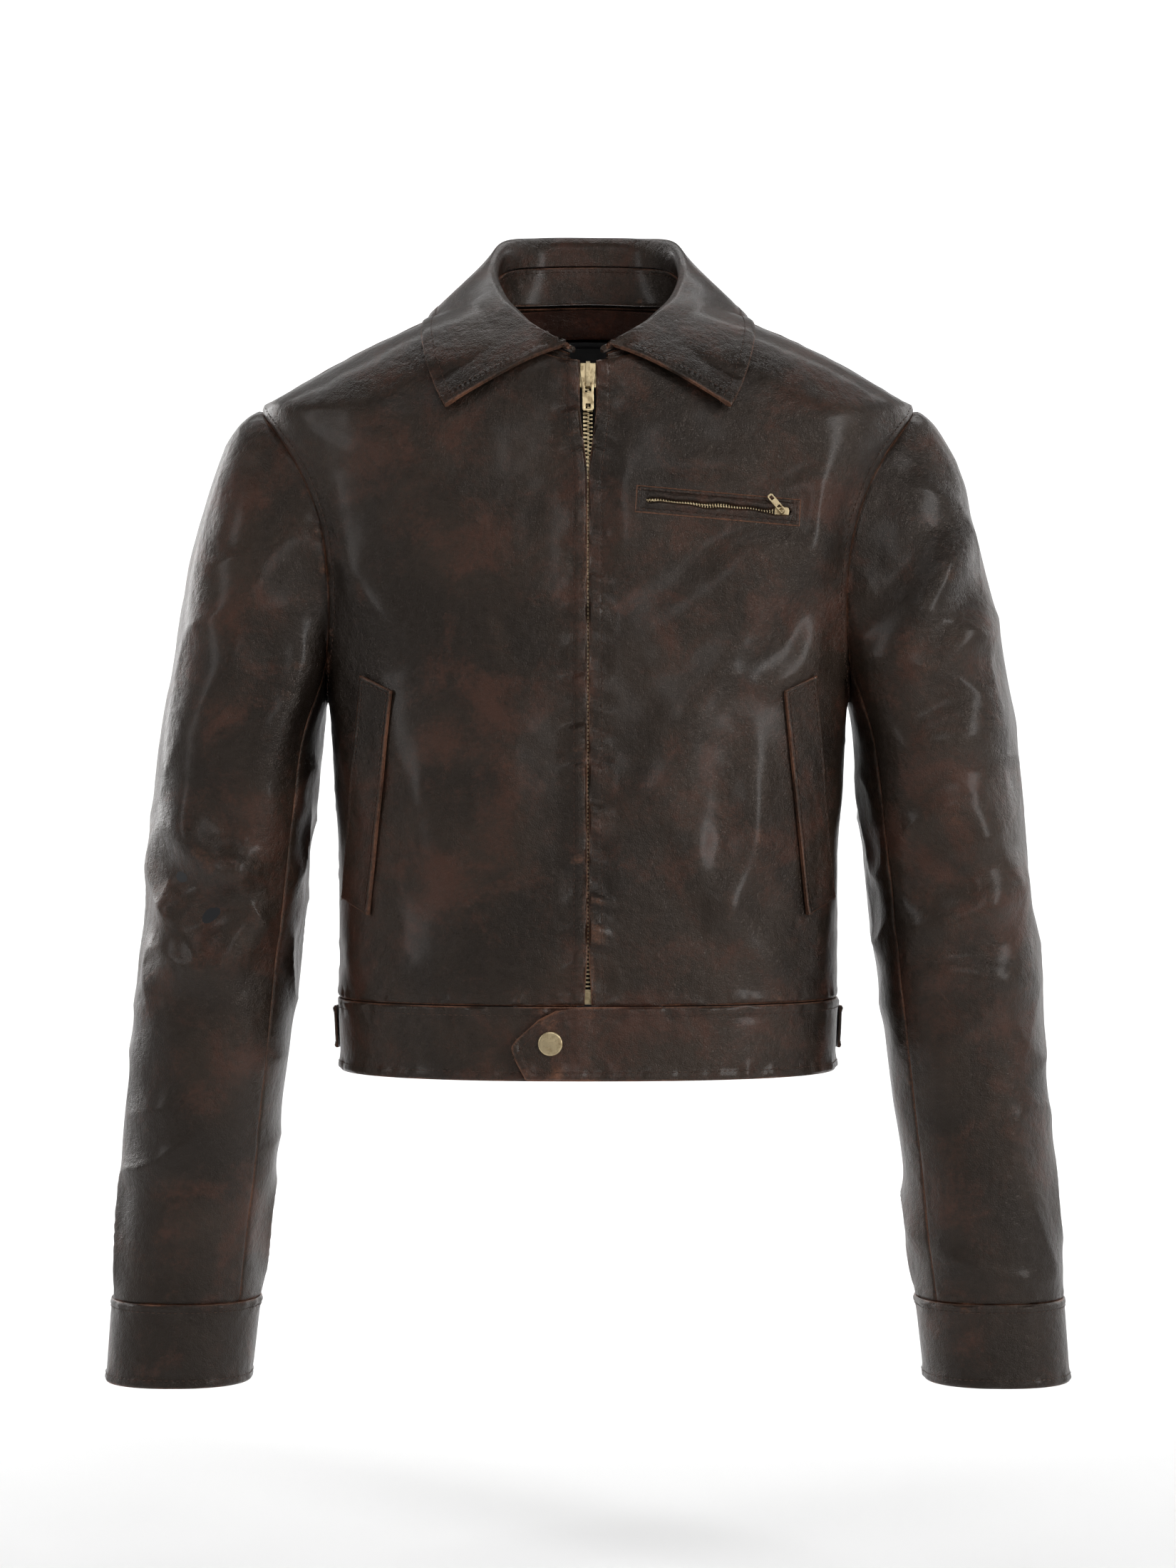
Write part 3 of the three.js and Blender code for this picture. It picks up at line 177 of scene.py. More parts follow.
SIDE_Z = [HEM_Z, BAND_TOP_Z, *trunk((0.25, 0.53, 0.81), -UNDERARM_DROP), -UNDERARM_DROP,
          lerp(-UNDERARM_DROP, -SHOULDER_DROP, 0.51), -SHOULDER_DROP]
SHOULDER_Z = [-SHOULDER_DROP, -SHOULDER_DROP / 2, 0]
FRONT_Z = [HEM_Z, BAND_TOP_Z, *trunk((0.24, 0.51, 0.77), -245), -245, -185, -128, -88, -NECK_FRONT_DROP]
BACK_Z = [HEM_Z, BAND_TOP_Z, *trunk((0.22, 0.48, 0.74), -235), -235, -160, -80, -32, 5]
SIDE_X = [HEM_HALF_WIDTH, HEM_HALF_WIDTH + 2, HEM_HALF_WIDTH + 2.5,
          lerp(HEM_HALF_WIDTH, CHEST_HALF_WIDTH, 0.5), CHEST_HALF_WIDTH, CHEST_HALF_WIDTH + 3,
          CHEST_HALF_WIDTH + 19, SHOULDER_HALF_WIDTH]
SHOULDER_X = [SHOULDER_HALF_WIDTH, lerp(NECK_HALF_WIDTH, SHOULDER_HALF_WIDTH, 0.56), NECK_HALF_WIDTH]
SIDE_Y = [-10, -9, -8, -6, -4, -3, -1, 0, 0, 0]
BACK_Y = [BACK_DEPTH + less for less in (-21, -19, -16, -11, -5, -1, 0, -14, -31, -53)]
ROUNDNESS = [2.4, 2.4, 2.4, 2.45, 2.5, 2.55, 2.6, 2.6, 2.4, 2.2]
FRONT_SLOPE = (FRONT_HEM_Y - FRONT_TOP_Y) / (HEM_Z + NECK_FRONT_DROP)


def front_line_y(z):
    return FRONT_TOP_Y + (z + NECK_FRONT_DROP) * FRONT_SLOPE


def plain_body(phi, level):
    phi, level = np.broadcast_arrays(np.asarray(phi, float), np.asarray(level, float))
    sin, cos = np.sin(phi), np.cos(phi)
    high = level > ARMHOLE_TOP
    half_width = np.where(high, through(SHOULDER_X, level - ARMHOLE_TOP), through(SIDE_X, level))
    side_height = np.where(high, through(SHOULDER_Z, level - ARMHOLE_TOP), through(SIDE_Z, level))
    middle_height = np.where(cos > 0, through(FRONT_Z, level), through(BACK_Z, level))
    centre_y = through(SIDE_Y, level)
    depth = np.where(cos > 0, centre_y - front_line_y(middle_height), through(BACK_Y, level) - centre_y)
    power = through(ROUNDNESS, level)
    radius = (np.abs(sin / half_width) ** power + np.abs(cos / depth) ** power) ** (-1 / power)
    return xyz(radius * sin, centre_y - radius * cos, lerp(middle_height, side_height, sin * sin))


SOFTENING = ((-1, 0.12), (-0.5, 0.23), (0, 0.3), (0.5, 0.23), (1, 0.12))


def soft_body(phi, level):
    """The body with the turn at the top of the armhole rounded off."""
    phi, level = np.broadcast_arrays(np.asarray(phi, float), np.asarray(level, float))
    reach = 0.45 * smooth(level, 5.4, 6.5) * (1 - smooth(level, 7.7, 8.6))
    reach = reach * lerp(1, 0.2, smooth(np.abs(np.sin(phi)), 0.8, 1))
    return sum(weight * plain_body(phi, level + offset * reach) for offset, weight in SOFTENING)


def on_surface(surface, x, z):
    """The phi and level of a surface's front at each x and z."""
    x, z = np.broadcast_arrays(np.asarray(x, float), np.asarray(z, float))
    phi, level = np.arctan2(x, 110), np.clip(6 + (z + 185) / 60, 0.5, 8.5)
    step = 1e-4
    for _ in range(30):
        here = surface(phi, level)
        across = (surface(phi + step, level) - here) / step
        up = (surface(phi, level + step) - here) / step
        determinant = across[..., 0] * up[..., 2] - up[..., 0] * across[..., 2]
        dx, dz = x - here[..., 0], z - here[..., 2]
        phi = phi + 0.7 * (dx * up[..., 2] - up[..., 0] * dz) / determinant
        level = level + 0.7 * (across[..., 0] * dz - dx * across[..., 2]) / determinant
    return phi, level


# The chest pocket's zip is straight, and it holds the leather round it flat.
chest_x = CHEST_POCKET_X + CHEST_POCKET_LENGTH * np.array([-0.5, 0, 0.5])
chest_y = plain_body(*on_surface(plain_body, chest_x, CHEST_POCKET_Z))[..., 1]
CHEST_FLAT_Y = 0.25 * chest_y[0] + 0.5 * chest_y[1] + 0.25 * chest_y[2]
CHEST_FLAT_SLOPE = (chest_y[2] - chest_y[0]) / CHEST_POCKET_LENGTH


def chest_plane_y(x, z):
    return CHEST_FLAT_Y + (x - CHEST_POCKET_X) * CHEST_FLAT_SLOPE + (z - CHEST_POCKET_Z) * FRONT_SLOPE


def base_body(phi, level):
    point = soft_body(phi, level)
    x, y, z = point[..., 0], point[..., 1], point[..., 2]
    inward = CHEST_POCKET_X - CHEST_POCKET_LENGTH / 2 - x
    outward = x - CHEST_POCKET_X - CHEST_POCKET_LENGTH / 2
    across = np.abs(z - CHEST_POCKET_Z) - CHEST_POCKET_HEIGHT / 2
    flat = (1 - smooth(inward, 2, 24)) * (1 - smooth(outward, 3, 34)) * (1 - smooth(across, 6, 60)) * (y < 0)
    point[..., 1] = lerp(y, chest_plane_y(x, z), flat)
    return point


def body_skin(phi, level):
    """Points on the body and their outward normals."""
    phi, level = np.broadcast_arrays(np.asarray(phi, float), np.asarray(level, float))
    step = 0.01
    lift = np.minimum(level, NECK - step)
    right = base_body(phi + step, lift) - base_body(phi - step, lift)
    up = base_body(phi, lift + step) - base_body(phi, lift - step)
    return base_body(phi, level), unit(np.cross(right, up))


def body(phi, level, out=0.0):
    point, normal = body_skin(phi, level)
    return point + normal * np.asarray(out, float)[..., None]


def phi_at_x(x, level, start, end):
    """The phi where a ring of the body reaches a given x, between two phis."""
    x, level = np.broadcast_arrays(np.asarray(x, float), np.asarray(level, float))
    low, high = np.full(x.shape, float(start)), np.full(x.shape, float(end))
    rising = base_body(high, level)[..., 0] > base_body(low, level)[..., 0]
    for _ in range(36):
        middle = (low + high) / 2
        below = (base_body(middle, level)[..., 0] < x) == rising
        low, high = np.where(below, middle, low), np.where(below, high, middle)
    return (low + high) / 2


# ---- Seam lines on the body ----
ARMHOLE_FRONT = math.radians(18.2)
ARMHOLE_BACK = math.radians(20)
SHOULDER_SEAM_FORWARD = 9
YOKE_SIDE, YOKE_BACK = 6.7, 6.93
TABLE_LEVELS = np.linspace(0, 9, 361)
shoulder_table = SIDE - np.arctan(SHOULDER_SEAM_FORWARD / base_body(SIDE, TABLE_LEVELS)[..., 0])
princess_x = through([74, 75, 80, 86, 96, 106, 118, 127, 130, 130], TABLE_LEVELS)
princess_table = phi_at_x(princess_x, TABLE_LEVELS, SIDE, BACK)


def lip_x(level):
    """Half the gap between the fronts: closed over the zip, open at the top and a little at the bottom."""
    return 0.3 + 4.9 * smooth(level, 7.05, 8.4) + 1.7 * (1 - smooth(level, 1, 1.75))


lip_table = phi_at_x(lip_x(TABLE_LEVELS), TABLE_LEVELS, 0, SIDE)


def from_table(table):
    return lambda level: np.interp(level, TABLE_LEVELS, table)


shoulder_phi, princess_phi, lip_phi = (from_table(t) for t in (shoulder_table, princess_table, lip_table))


def armhole_reach(level):
    return np.sqrt(np.maximum(0, 1 - (level - 6) ** 2))


def front_edge_phi(level):
    armhole = np.minimum(SIDE - ARMHOLE_FRONT * armhole_reach(level), shoulder_phi(ARMHOLE_TOP))
    return np.where(level <= UNDERARM, SIDE, np.where(level < ARMHOLE_TOP, armhole, shoulder_phi(level)))


def back_edge_phi(level):
    armhole = SIDE + ARMHOLE_BACK * armhole_reach(level)
    return np.where(level <= UNDERARM, SIDE, np.where(level < ARMHOLE_TOP, armhole, shoulder_phi(level)))


def yoke_level(share):
    return lerp(YOKE_SIDE, YOKE_BACK, np.sin(share * SIDE))


# ---- The sleeves' surface ----
UNDERARM_X = CHEST_HALF_WIDTH + 3
CAP_DEPTH = 205
CUFF_EDGE_Z = -SHOULDER_DROP - SLEEVE_LENGTH
INNER_LENGTH = SLEEVE_LENGTH + SHOULDER_DROP - UNDERARM_DROP
OUTER_DROP = [0, 0.065, 0.195, 0.33, 0.45, 0.58, 0.69, 0.8, 1 - CUFF_HEIGHT / SLEEVE_LENGTH, 1]
INNER_DROP = [0, 0.05, 0.115, 0.21, 0.32, 0.44, 0.57, 0.72, 1 - CUFF_HEIGHT / INNER_LENGTH, 1]
SLEEVE_Y = [0, 0, -1, -2, -4, -7, -11, -15, -19, -22]
SLEEVE_DEPTH = [59, 63, 65, 64, 60, 56, 52, 48, 45, 44]
SLEEVE_ROUNDNESS = 2.3
CUFF_START, CUFF_END = 8, 9


def inner_x(z):
    return UNDERARM_X + 0.8 + SLEEVE_LEAN * (-UNDERARM_DROP - z)


def free_outer_x(z):
    width = lerp(SLEEVE_WIDTH, CUFF_WIDTH, np.clip((-UNDERARM_DROP - z) / INNER_LENGTH, 0, 1) ** 1.6)
    return inner_x(z) + width


def outer_x(z):
    bottom = -SHOULDER_DROP - CAP_DEPTH
    share = np.sqrt(np.clip((-SHOULDER_DROP - z) / CAP_DEPTH, 0, 1))
    return np.where(z < bottom, free_outer_x(z), lerp(SHOULDER_HALF_WIDTH, free_outer_x(bottom), share))


def plain_sleeve(turn, ring):
    cos, sin = np.cos(turn), np.sin(turn)
    outer_z = lerp(-SHOULDER_DROP, CUFF_EDGE_Z, through(OUTER_DROP, ring))
    inner_z = lerp(-UNDERARM_DROP, CUFF_EDGE_Z, through(INNER_DROP, ring))
    outer, inner = xyz(outer_x(outer_z), 0, outer_z), xyz(inner_x(inner_z), 0, inner_z)
    bulge = (np.abs(cos) ** SLEEVE_ROUNDNESS + np.abs(sin) ** SLEEVE_ROUNDNESS) ** (-1 / SLEEVE_ROUNDNESS)
    point = (outer + inner) / 2 + (outer - inner) / 2 * (cos * bulge)[..., None]
    point[..., 1] = through(SLEEVE_Y, ring) - through(SLEEVE_DEPTH, ring) * sin * bulge
    return point


def base_sleeve(turn, ring):
    turn, ring = np.broadcast_arrays(np.asarray(turn, float), np.asarray(ring, float))
    point = plain_sleeve(turn, ring)
    sin = np.sin(turn)
    phi = SIDE - sin * np.where(sin > 0, ARMHOLE_FRONT, ARMHOLE_BACK)
    at_armhole = body(phi, 6 + np.cos(turn), 0.6)
    start = plain_sleeve(turn, 0 * ring)
    free = smooth(ring, 0, 2)[..., None]
    return lerp(at_armhole + point - start, point, free)


def sleeve_skin(turn, ring):
    turn, ring = np.broadcast_arrays(np.asarray(turn, float), np.asarray(ring, float))
    step = 0.02
    around = base_sleeve(turn - step, ring) - base_sleeve(turn + step, ring)
    up = base_sleeve(turn, np.maximum(ring - step, 0)) - base_sleeve(turn, np.minimum(ring + step, CUFF_END))
    return base_sleeve(turn, ring), unit(np.cross(around, up))


def on_side(skin, sign):
    """The same skin on the wearer's left (1) or right (-1)."""
    def placed(a, b):
        if skin is body_skin:
            return skin(sign * np.asarray(a, float), b)
        point, normal = skin(a, b)
        return point * (sign, 1, 1), normal * (sign, 1, 1)
    return placed


# ---- Folds in the leather ----
def pocket_frame_axes():
    along = np.array([1, CHEST_FLAT_SLOPE + CHEST_TILT * FRONT_SLOPE, CHEST_TILT])
    along = along / np.linalg.norm(along)
    inward = np.cross((0, FRONT_SLOPE, 1), along)
    inward = inward / np.linalg.norm(inward)
    origin = np.array([CHEST_POCKET_X, chest_plane_y(CHEST_POCKET_X, CHEST_POCKET_Z), CHEST_POCKET_Z])
    return origin, along, inward, np.cross(along, inward)


CHEST_ORIGIN, CHEST_ALONG, CHEST_INWARD, CHEST_ACROSS = pocket_frame_axes()
CHEST_WINDOW_HALF = CHEST_POCKET_LENGTH / 2 - 6


def chest_carve(points):
    """The leather is cut away behind the chest pocket's lips, and lies flat under their frame."""
    local = points - CHEST_ORIGIN
    x, z = local @ CHEST_ALONG, local @ CHEST_ACROSS
    inside = (np.abs(x) < CHEST_WINDOW_HALF + 1) & (np.abs(z) < 5) & (points[..., 1] < 0)
    return np.where(inside, -6.5, 0.0)


def chest_hold(points):
    """1 where folds reach freely, 0 at the chest pocket, which holds the leather flat."""
    local = points - CHEST_ORIGIN
    x, z = np.abs(local @ CHEST_ALONG), np.abs(local @ CHEST_ACROSS)
    return 1 - (1 - smooth(x, 50, 66)) * (1 - smooth(z, 8, 24)) * (points[..., 1] < 0)


def edge_hold(points):
    """Folds die away at the zip and at the waistband, where seams hold the leather."""
    x, z = points[..., 0], points[..., 2]
    hold = smooth(z, BAND_TOP_Z, BAND_TOP_Z + 26)
    return hold * lerp(1, smooth(np.abs(x), 4, 26), (points[..., 1] < 0) * 1.0)


SLACK = [(2.8, 70, 3), (1.5, 26, 4), (0.45, 11, 5)]  # height and size of the lumps everywhere, and a seed
# Each fold runs between two places, on the front (-1) or the back (1): x, z, x, z, width, height.
FOLDS = [
    (-1, 168, -112, 52, -208, 17, 4.3), (-1, 160, -150, 64, -262, 15, 2.9),
    (-1, 150, -92, 60, -118, 14, 2.1), (-1, 62, -250, 30, -330, 18, 2.1),
    (-1, 112, -300, 84, -392, 13, 3.2), (-1, 60, -340, 104, -420, 14, 2.4),
    (-1, 150, -210, 118, -250, 10, 2.4), (-1, -166, -150, -110, -232, 14, 2.4),
    (-1, -150, -96, -70, -130, 16, 1.6), (-1, -160, -240, -146, -330, 10, 2.9),
    (-1, -104, -300, -76, -402, 16, 2), (-1, -40, -260, -56, -380, 17, 1.6),
    (-1, 158, -300, 150, -430, 9, 2.1), (-1, -156, -350, -140, -436, 10, 2.1),
    (-1, 180, -232, 250, -158, 14, 6.2), (-1, 188, -262, 262, -205, 14, 4.8),
    (-1, 196, -300, 270, -262, 16, 3.6), (-1, 204, -404, 282, -372, 14, 5.1),
    (-1, 206, -428, 262, -446, 12, 3.9), (-1, 222, -470, 290, -430, 17, 3.2),
    (-1, 214, -330, 262, -352, 19, 2.7), (-1, 240, -520, 300, -560, 22, 2.1),
    (-1, -176, -222, -212, -300, 16, 5.1), (-1, -180, -260, -205, -352, 17, 3.9),
    (-1, -268, -340, -206, -372, 14, 6.2), (-1, -262, -398, -214, -352, 12, 4.8),
    (-1, -206, -366, -226, -430, 16, 4.4), (-1, -280, -450, -216, -418, 16, 3.6),
    (-1, -250, -540, -288, -590, 22, 2.1), (1, 170, -238, 232, -186, 14, 6),
    (1, 186, -262, 246, -226, 14, 4.2), (1, 190, -330, 262, -300, 19, 3),
    (1, 204, -402, 262, -372, 19, 3.6), (1, 160, -130, 108, -196, 16, 2.1),
    (1, 150, -300, 128, -400, 14, 2.4), (1, -168, -236, -230, -196, 14, 6.6),
    (1, -182, -262, -246, -242, 14, 4.4), (1, -198, -330, -262, -312, 19, 3),
    (1, -206, -410, -276, -388, 19, 3.2), (1, -160, -130, -104, -190, 16, 2.1),
    (1, -150, -290, -126, -410, 14, 2.1), (1, 60, -250, 44, -370, 21, 1.8),
    (1, -64, -180, -40, -300, 21, 2.1), (1, 30, -40, 130, -66, 16, 1.6),
]


def fold_height(points, normals):
    """How far the leather stands off its smooth base, in mm, because of its folds and slack."""
    height = 0
    for tall, size, seed in SLACK:
        height = height + tall * (noise(points, size, seed) - 0.5)
    x, z = points[..., 0], points[..., 2]
    for facing, x0, z0, x1, z1, width, tall in FOLDS:
        length = math.hypot(x1 - x0, z1 - z0)
        dx, dz = (x1 - x0) / length, (z1 - z0) / length
        run = (x - x0) * dx + (z - z0) * dz
        side = (x - x0) * dz - (z - z0) * dx
        bend = 5 * np.sin(run / length * math.pi * 1.3 + x0)
        t = (side + bend) / width
        ends = smooth(run, -0.25 * length, 0.3 * length) * (1 - smooth(run, 0.65 * length, 1.3 * length))
        crest = np.exp(-t * t) - 0.55 * np.exp(-((t - 1.5) ** 2)) - 0.35 * np.exp(-((t + 1.7) ** 2))
        height = height + tall * crest * ends * smooth(normals[..., 1] * facing, 0.05, 0.5)
    return height * chest_hold(points) * edge_hold(points)


def sleeve_creases(points, sign):
    """Slack that gathers at the elbow and above the cuff."""
    z = points[..., 2]
    elbow = np.exp(-(((z + 395) / 75) ** 2))
    wrist = np.exp(-(((z + 600) / 60) ** 2))
    diagonal = ridges(points, (0.72 * sign, 0.3, 0.6), 120, 30, 11)
    crossing = ridges(points, (0.9 * sign, -0.2, -0.35), 120, 34, 12)
    return 4.6 * elbow * (diagonal - 0.35) + 3.0 * wrist * (crossing - 0.35) + 1.9 * (crossing - 0.35)


# ---- Meshes ----
def add_object(name, mesh):
    obj = bpy.data.objects.new(name, mesh)
    bpy.context.scene.collection.objects.link(obj)
    return obj


def signed_volume(vertices, faces):
    a, b, c, d = (vertices[faces[:, k]] for k in range(4))
    return (np.einsum("ij,ij->i", a, np.cross(b, c)) + np.einsum("ij,ij->i", a, np.cross(c, d))).sum()


def shell(outer, inner, closed=False):
    """The faces of a wall between two grids of points. A closed wall joins its last column to its first."""
    rows, columns = outer.shape[:2]
    index = np.arange(rows * columns * 2).reshape(2, rows, columns)
    if closed:
        index = np.concatenate([index, index[:, :, :1]], axis=2)
    faces = []

    def strip(a, b, c, d):
        faces.append(np.stack([x.reshape(-1) for x in (a, b, c, d)], axis=1))

    face, back = index
    strip(face[:-1, :-1], face[:-1, 1:], face[1:, 1:], face[1:, :-1])
    strip(back[:-1, :-1], back[1:, :-1], back[1:, 1:], back[:-1, 1:])
    strip(face[0, :-1], back[0, :-1], back[0, 1:], face[0, 1:])
    strip(face[-1, :-1], face[-1, 1:], back[-1, 1:], back[-1, :-1])
    if not closed:
        strip(face[:-1, 0], face[1:, 0], back[1:, 0], back[:-1, 0])
        strip(face[:-1, -1], back[:-1, -1], back[1:, -1], face[1:, -1])
    faces = np.concatenate(faces)
    vertices = np.concatenate([outer.reshape(-1, 3), inner.reshape(-1, 3)])
    if signed_volume(vertices, faces) < 0:
        faces = faces[:, ::-1]
    return vertices, faces


def mesh_from(name, parts, wear=()):
    """One mesh from several (vertices, faces), in mm. wear has a value for each part's vertices."""
    vertices, faces, count = [], [], 0
    for points, quads in parts:
        vertices.append(points)
        faces.append(quads + count)
        count += len(points)
    mesh = bpy.data.meshes.new(name)
    mesh.from_pydata((np.concatenate(vertices) * MM).tolist(), [], np.concatenate(faces).tolist())
    if len(wear):
        layer = mesh.attributes.new("wear", "FLOAT", "POINT")
        layer.data.foreach_set("value", np.concatenate([w.reshape(-1) for w in wear]).astype(np.float32))
    return mesh


def place_piece(name, mesh, finish, replaces=(), body="jacket", bend=None, sharp=50):
    """Makes a mesh a piece of the jacket, attached to its body. bend is (tab's body, start, end), start and
    end at its root; when given, the mesh's transform is only baked in, and the piece is neither attached to a
    body nor bent.
    """
    mesh.materials.clear()
    mesh.materials.append(finish)
    mesh.shade_smooth()
    mesh.set_sharp_from_angle(angle=math.radians(sharp))
    obj = add_object(name, mesh)
    if bend:
        tab, start, end = bend
        tuple(start * MM)
        tuple(end * MM)
        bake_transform(obj)
    else:
        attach(obj, body)
    if replaces:
        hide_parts(*replaces)
    return obj


def measure(line, points):
    """Each point's distance from a line of points, and how far along the line it is."""
    flat = points.reshape(-1, 3)
    spans = np.linalg.norm(np.diff(line, axis=0), axis=1)
    lengths = np.concatenate([[0], np.cumsum(spans)])
    squared = (flat ** 2).sum(1)[:, None] - 2 * flat @ line.T + (line ** 2).sum(1)[None]
    nearest = squared.argmin(1)
    best, along = np.full(len(flat), np.inf), np.zeros(len(flat))
    for shift in (-1, 0):
        start = np.clip(nearest + shift, 0, len(line) - 2)
        a, span = line[start], line[start + 1] - line[start]
        share = np.clip(((flat - a) * span).sum(1) / np.maximum((span ** 2).sum(1), 1e-9), 0, 1)
        gap = np.linalg.norm(flat - a - span * share[:, None], axis=1)
        closer = gap < best
        best = np.where(closer, gap, best)
        along = np.where(closer, lengths[start] + share * spans[start], along)
    return best.reshape(points.shape[:-1]), along.reshape(points.shape[:-1])


def spaced(length, step, tight=True):
    """Shares from 0 to 1 about `step` mm apart, closer at both ends where an edge turns."""
    edge = np.array([0, 0.35, 0.8, 1.5, 2.4]) / length if tight else np.array([0.0])
    count = max(int(round(length / step)), 2)
    middle = np.linspace(edge[-1], 1 - edge[-1], count + 1)
    return np.concatenate([edge[:-1], middle, (1 - edge[:-1])[::-1]])


# ---- Seams and stitching ----
PLACKET_ROW = 8.3  # the stitching beside the zip, from the edge
EDGE_ROLL = 0.85  # how far an edge turns down into its seam
STITCH_LIFT = 0.32  # how far the thread stands off the leather
stitch_rows = {}  # body name -> lines of points


def edge_line(grid, end, span):
    low, high = span
    if end in ("left", "right"):
        column = 0 if end == "left" else -1
        return grid[low:high, column]
    return grid[0 if end == "bottom" else -1, low:high]


def row_points(face, distance, row, end, span):
    """Where a stitch row lies: on each line across the seam, the first place at the row's distance."""
    if end in ("bottom", "top"):
        face, distance = face.transpose(1, 0, 2), distance.T
    if end in ("right", "top"):
        face, distance = face[:, ::-1], distance[:, ::-1]
    points = []
    for k in range(*slice(*span).indices(len(face))):
        beyond = np.nonzero(distance[k] > row)[0]
        if len(beyond) and beyond[0] > 0:
            i = beyond[0]
            a, b = distance[k][i - 1], distance[k][i]
            points.append(lerp(face[k][i - 1], face[k][i], (row - a) / max(b - a, 1e-6)))
    return np.array(points)


def sew(points, seams, seed):
    """What a piece's seams do to it: height, wear, how free its folds are, and its stitch rows.

    seams: (end, (first, last), row, pucker), with row 0 where it isn't topstitched. A fifth value, True,
    is for a seam that holds the folds flat, such as an armhole.
    """
    height, wear, free, rows = np.zeros(points.shape[:-1]), np.zeros(points.shape[:-1]), 1.0, []
    for number, (end, span, row, pucker, *armhole) in enumerate(seams):
        distance, along = measure(edge_line(points, end, span), points)
        height -= EDGE_ROLL * (0.5 if armhole else 1) * np.exp(-((distance / 0.9) ** 2))
        free = np.minimum(free, lerp(0 if armhole else 0.35, 1, smooth(distance, 0, 20)))
        worn = 0.25 + 0.75 * line_noise(along, 14, seed + number)
        wear = np.maximum(wear, np.exp(-((distance / 1.3) ** 2)) * worn)
        if row:
            height += 0.8 * (1 - smooth(distance, row, row + 2.2))
            height -= 0.8 * np.exp(-(((distance - row) / 1.0) ** 2))
            wear = np.maximum(wear, 0.3 * np.exp(-(((distance - row) / 0.9) ** 2)) * worn)
            rows.append((end, span, row, distance))
        if row == PLACKET_ROW:
            wear = np.maximum(wear, 0.6 * worn * (1 - smooth(distance, 0.25 * row, 0.8 * row)))
        if pucker:
            reach = max(row, 4)
            bumps = line_noise(along + 0.25 * distance, 6.2, seed + 50 + number)
            strong = 0.35 + 1.1 * line_noise(along, 33, seed + number)
            near = smooth(distance, 0.3, 1.8) * (1 - smooth(distance, reach * 0.7, reach * 2.3))
            height += pucker * (8.4 * bumps - 4.0) * strong * near
            wear = np.maximum(wear, 0.6 * smooth(bumps * strong, 0.5, 0.95) * near)
    return height, wear, free, rows


def panel(name, skin, a, b, seams, finish, replaces, out=0.0, thickness=LEATHER_THICKNESS, extra=None,
          body="jacket", bend=None, seed=1, creases=None, folds=1.0, carve=None):
    """A sewn piece: the skin's coordinates a and b over a grid, with relief from its seams and folds."""
    points, normals = skin(a, b)
    sewn, wear, free, rows = sew(points, seams, seed)
    slack = folds * fold_height(points, normals) * free
    if creases:
        slack = slack + creases(points) * free
    if extra is not None:
        slack = slack + extra
    height = out + slack + sewn
    if carve is not None:
        height = height + carve(points)
    face = points + normals * height[..., None]
    back = points + normals * np.minimum(out + slack - thickness, height - 0.5)[..., None]
    wear = np.clip(wear + 0.5 * smooth(slack, 1.2, 3.2) * noise(points, 9, 8), 0, 1)
    mesh = mesh_from(name, [shell(face, back)], [wear, wear])
    for end, span, row, distance in rows:
        line = row_points(face + normals * STITCH_LIFT, distance, row, end, span)
        if len(line) > 3:
            stitch_rows.setdefault(body, []).append(line)
    return place_piece(name, mesh, finish, replaces, body, bend)


# ---- Shader expressions ----
class Value:
    """A node's socket that can be used in arithmetic."""

    def __init__(self, finish, socket):
        self.finish, self.socket = finish, socket

    def math(self, operation, a, b):
        node = self.finish.node("ShaderNodeMath", {"operation": operation}, {0: a, 1: b})
        return Value(self.finish, node.outputs[0])

    def __add__(self, other):
        return self.math("ADD", self, other)

    def __radd__(self, other):
        return self.math("ADD", other, self)

    def __sub__(self, other):
        return self.math("SUBTRACT", self, other)

    def __rsub__(self, other):
        return self.math("SUBTRACT", other, self)

    def __mul__(self, other):
        return self.math("MULTIPLY", self, other)

    def __rmul__(self, other):
        return self.math("MULTIPLY", other, self)

    def __truediv__(self, other):
        return self.math("DIVIDE", self, other)

    def __pow__(self, other):
        return self.math("POWER", self, other)


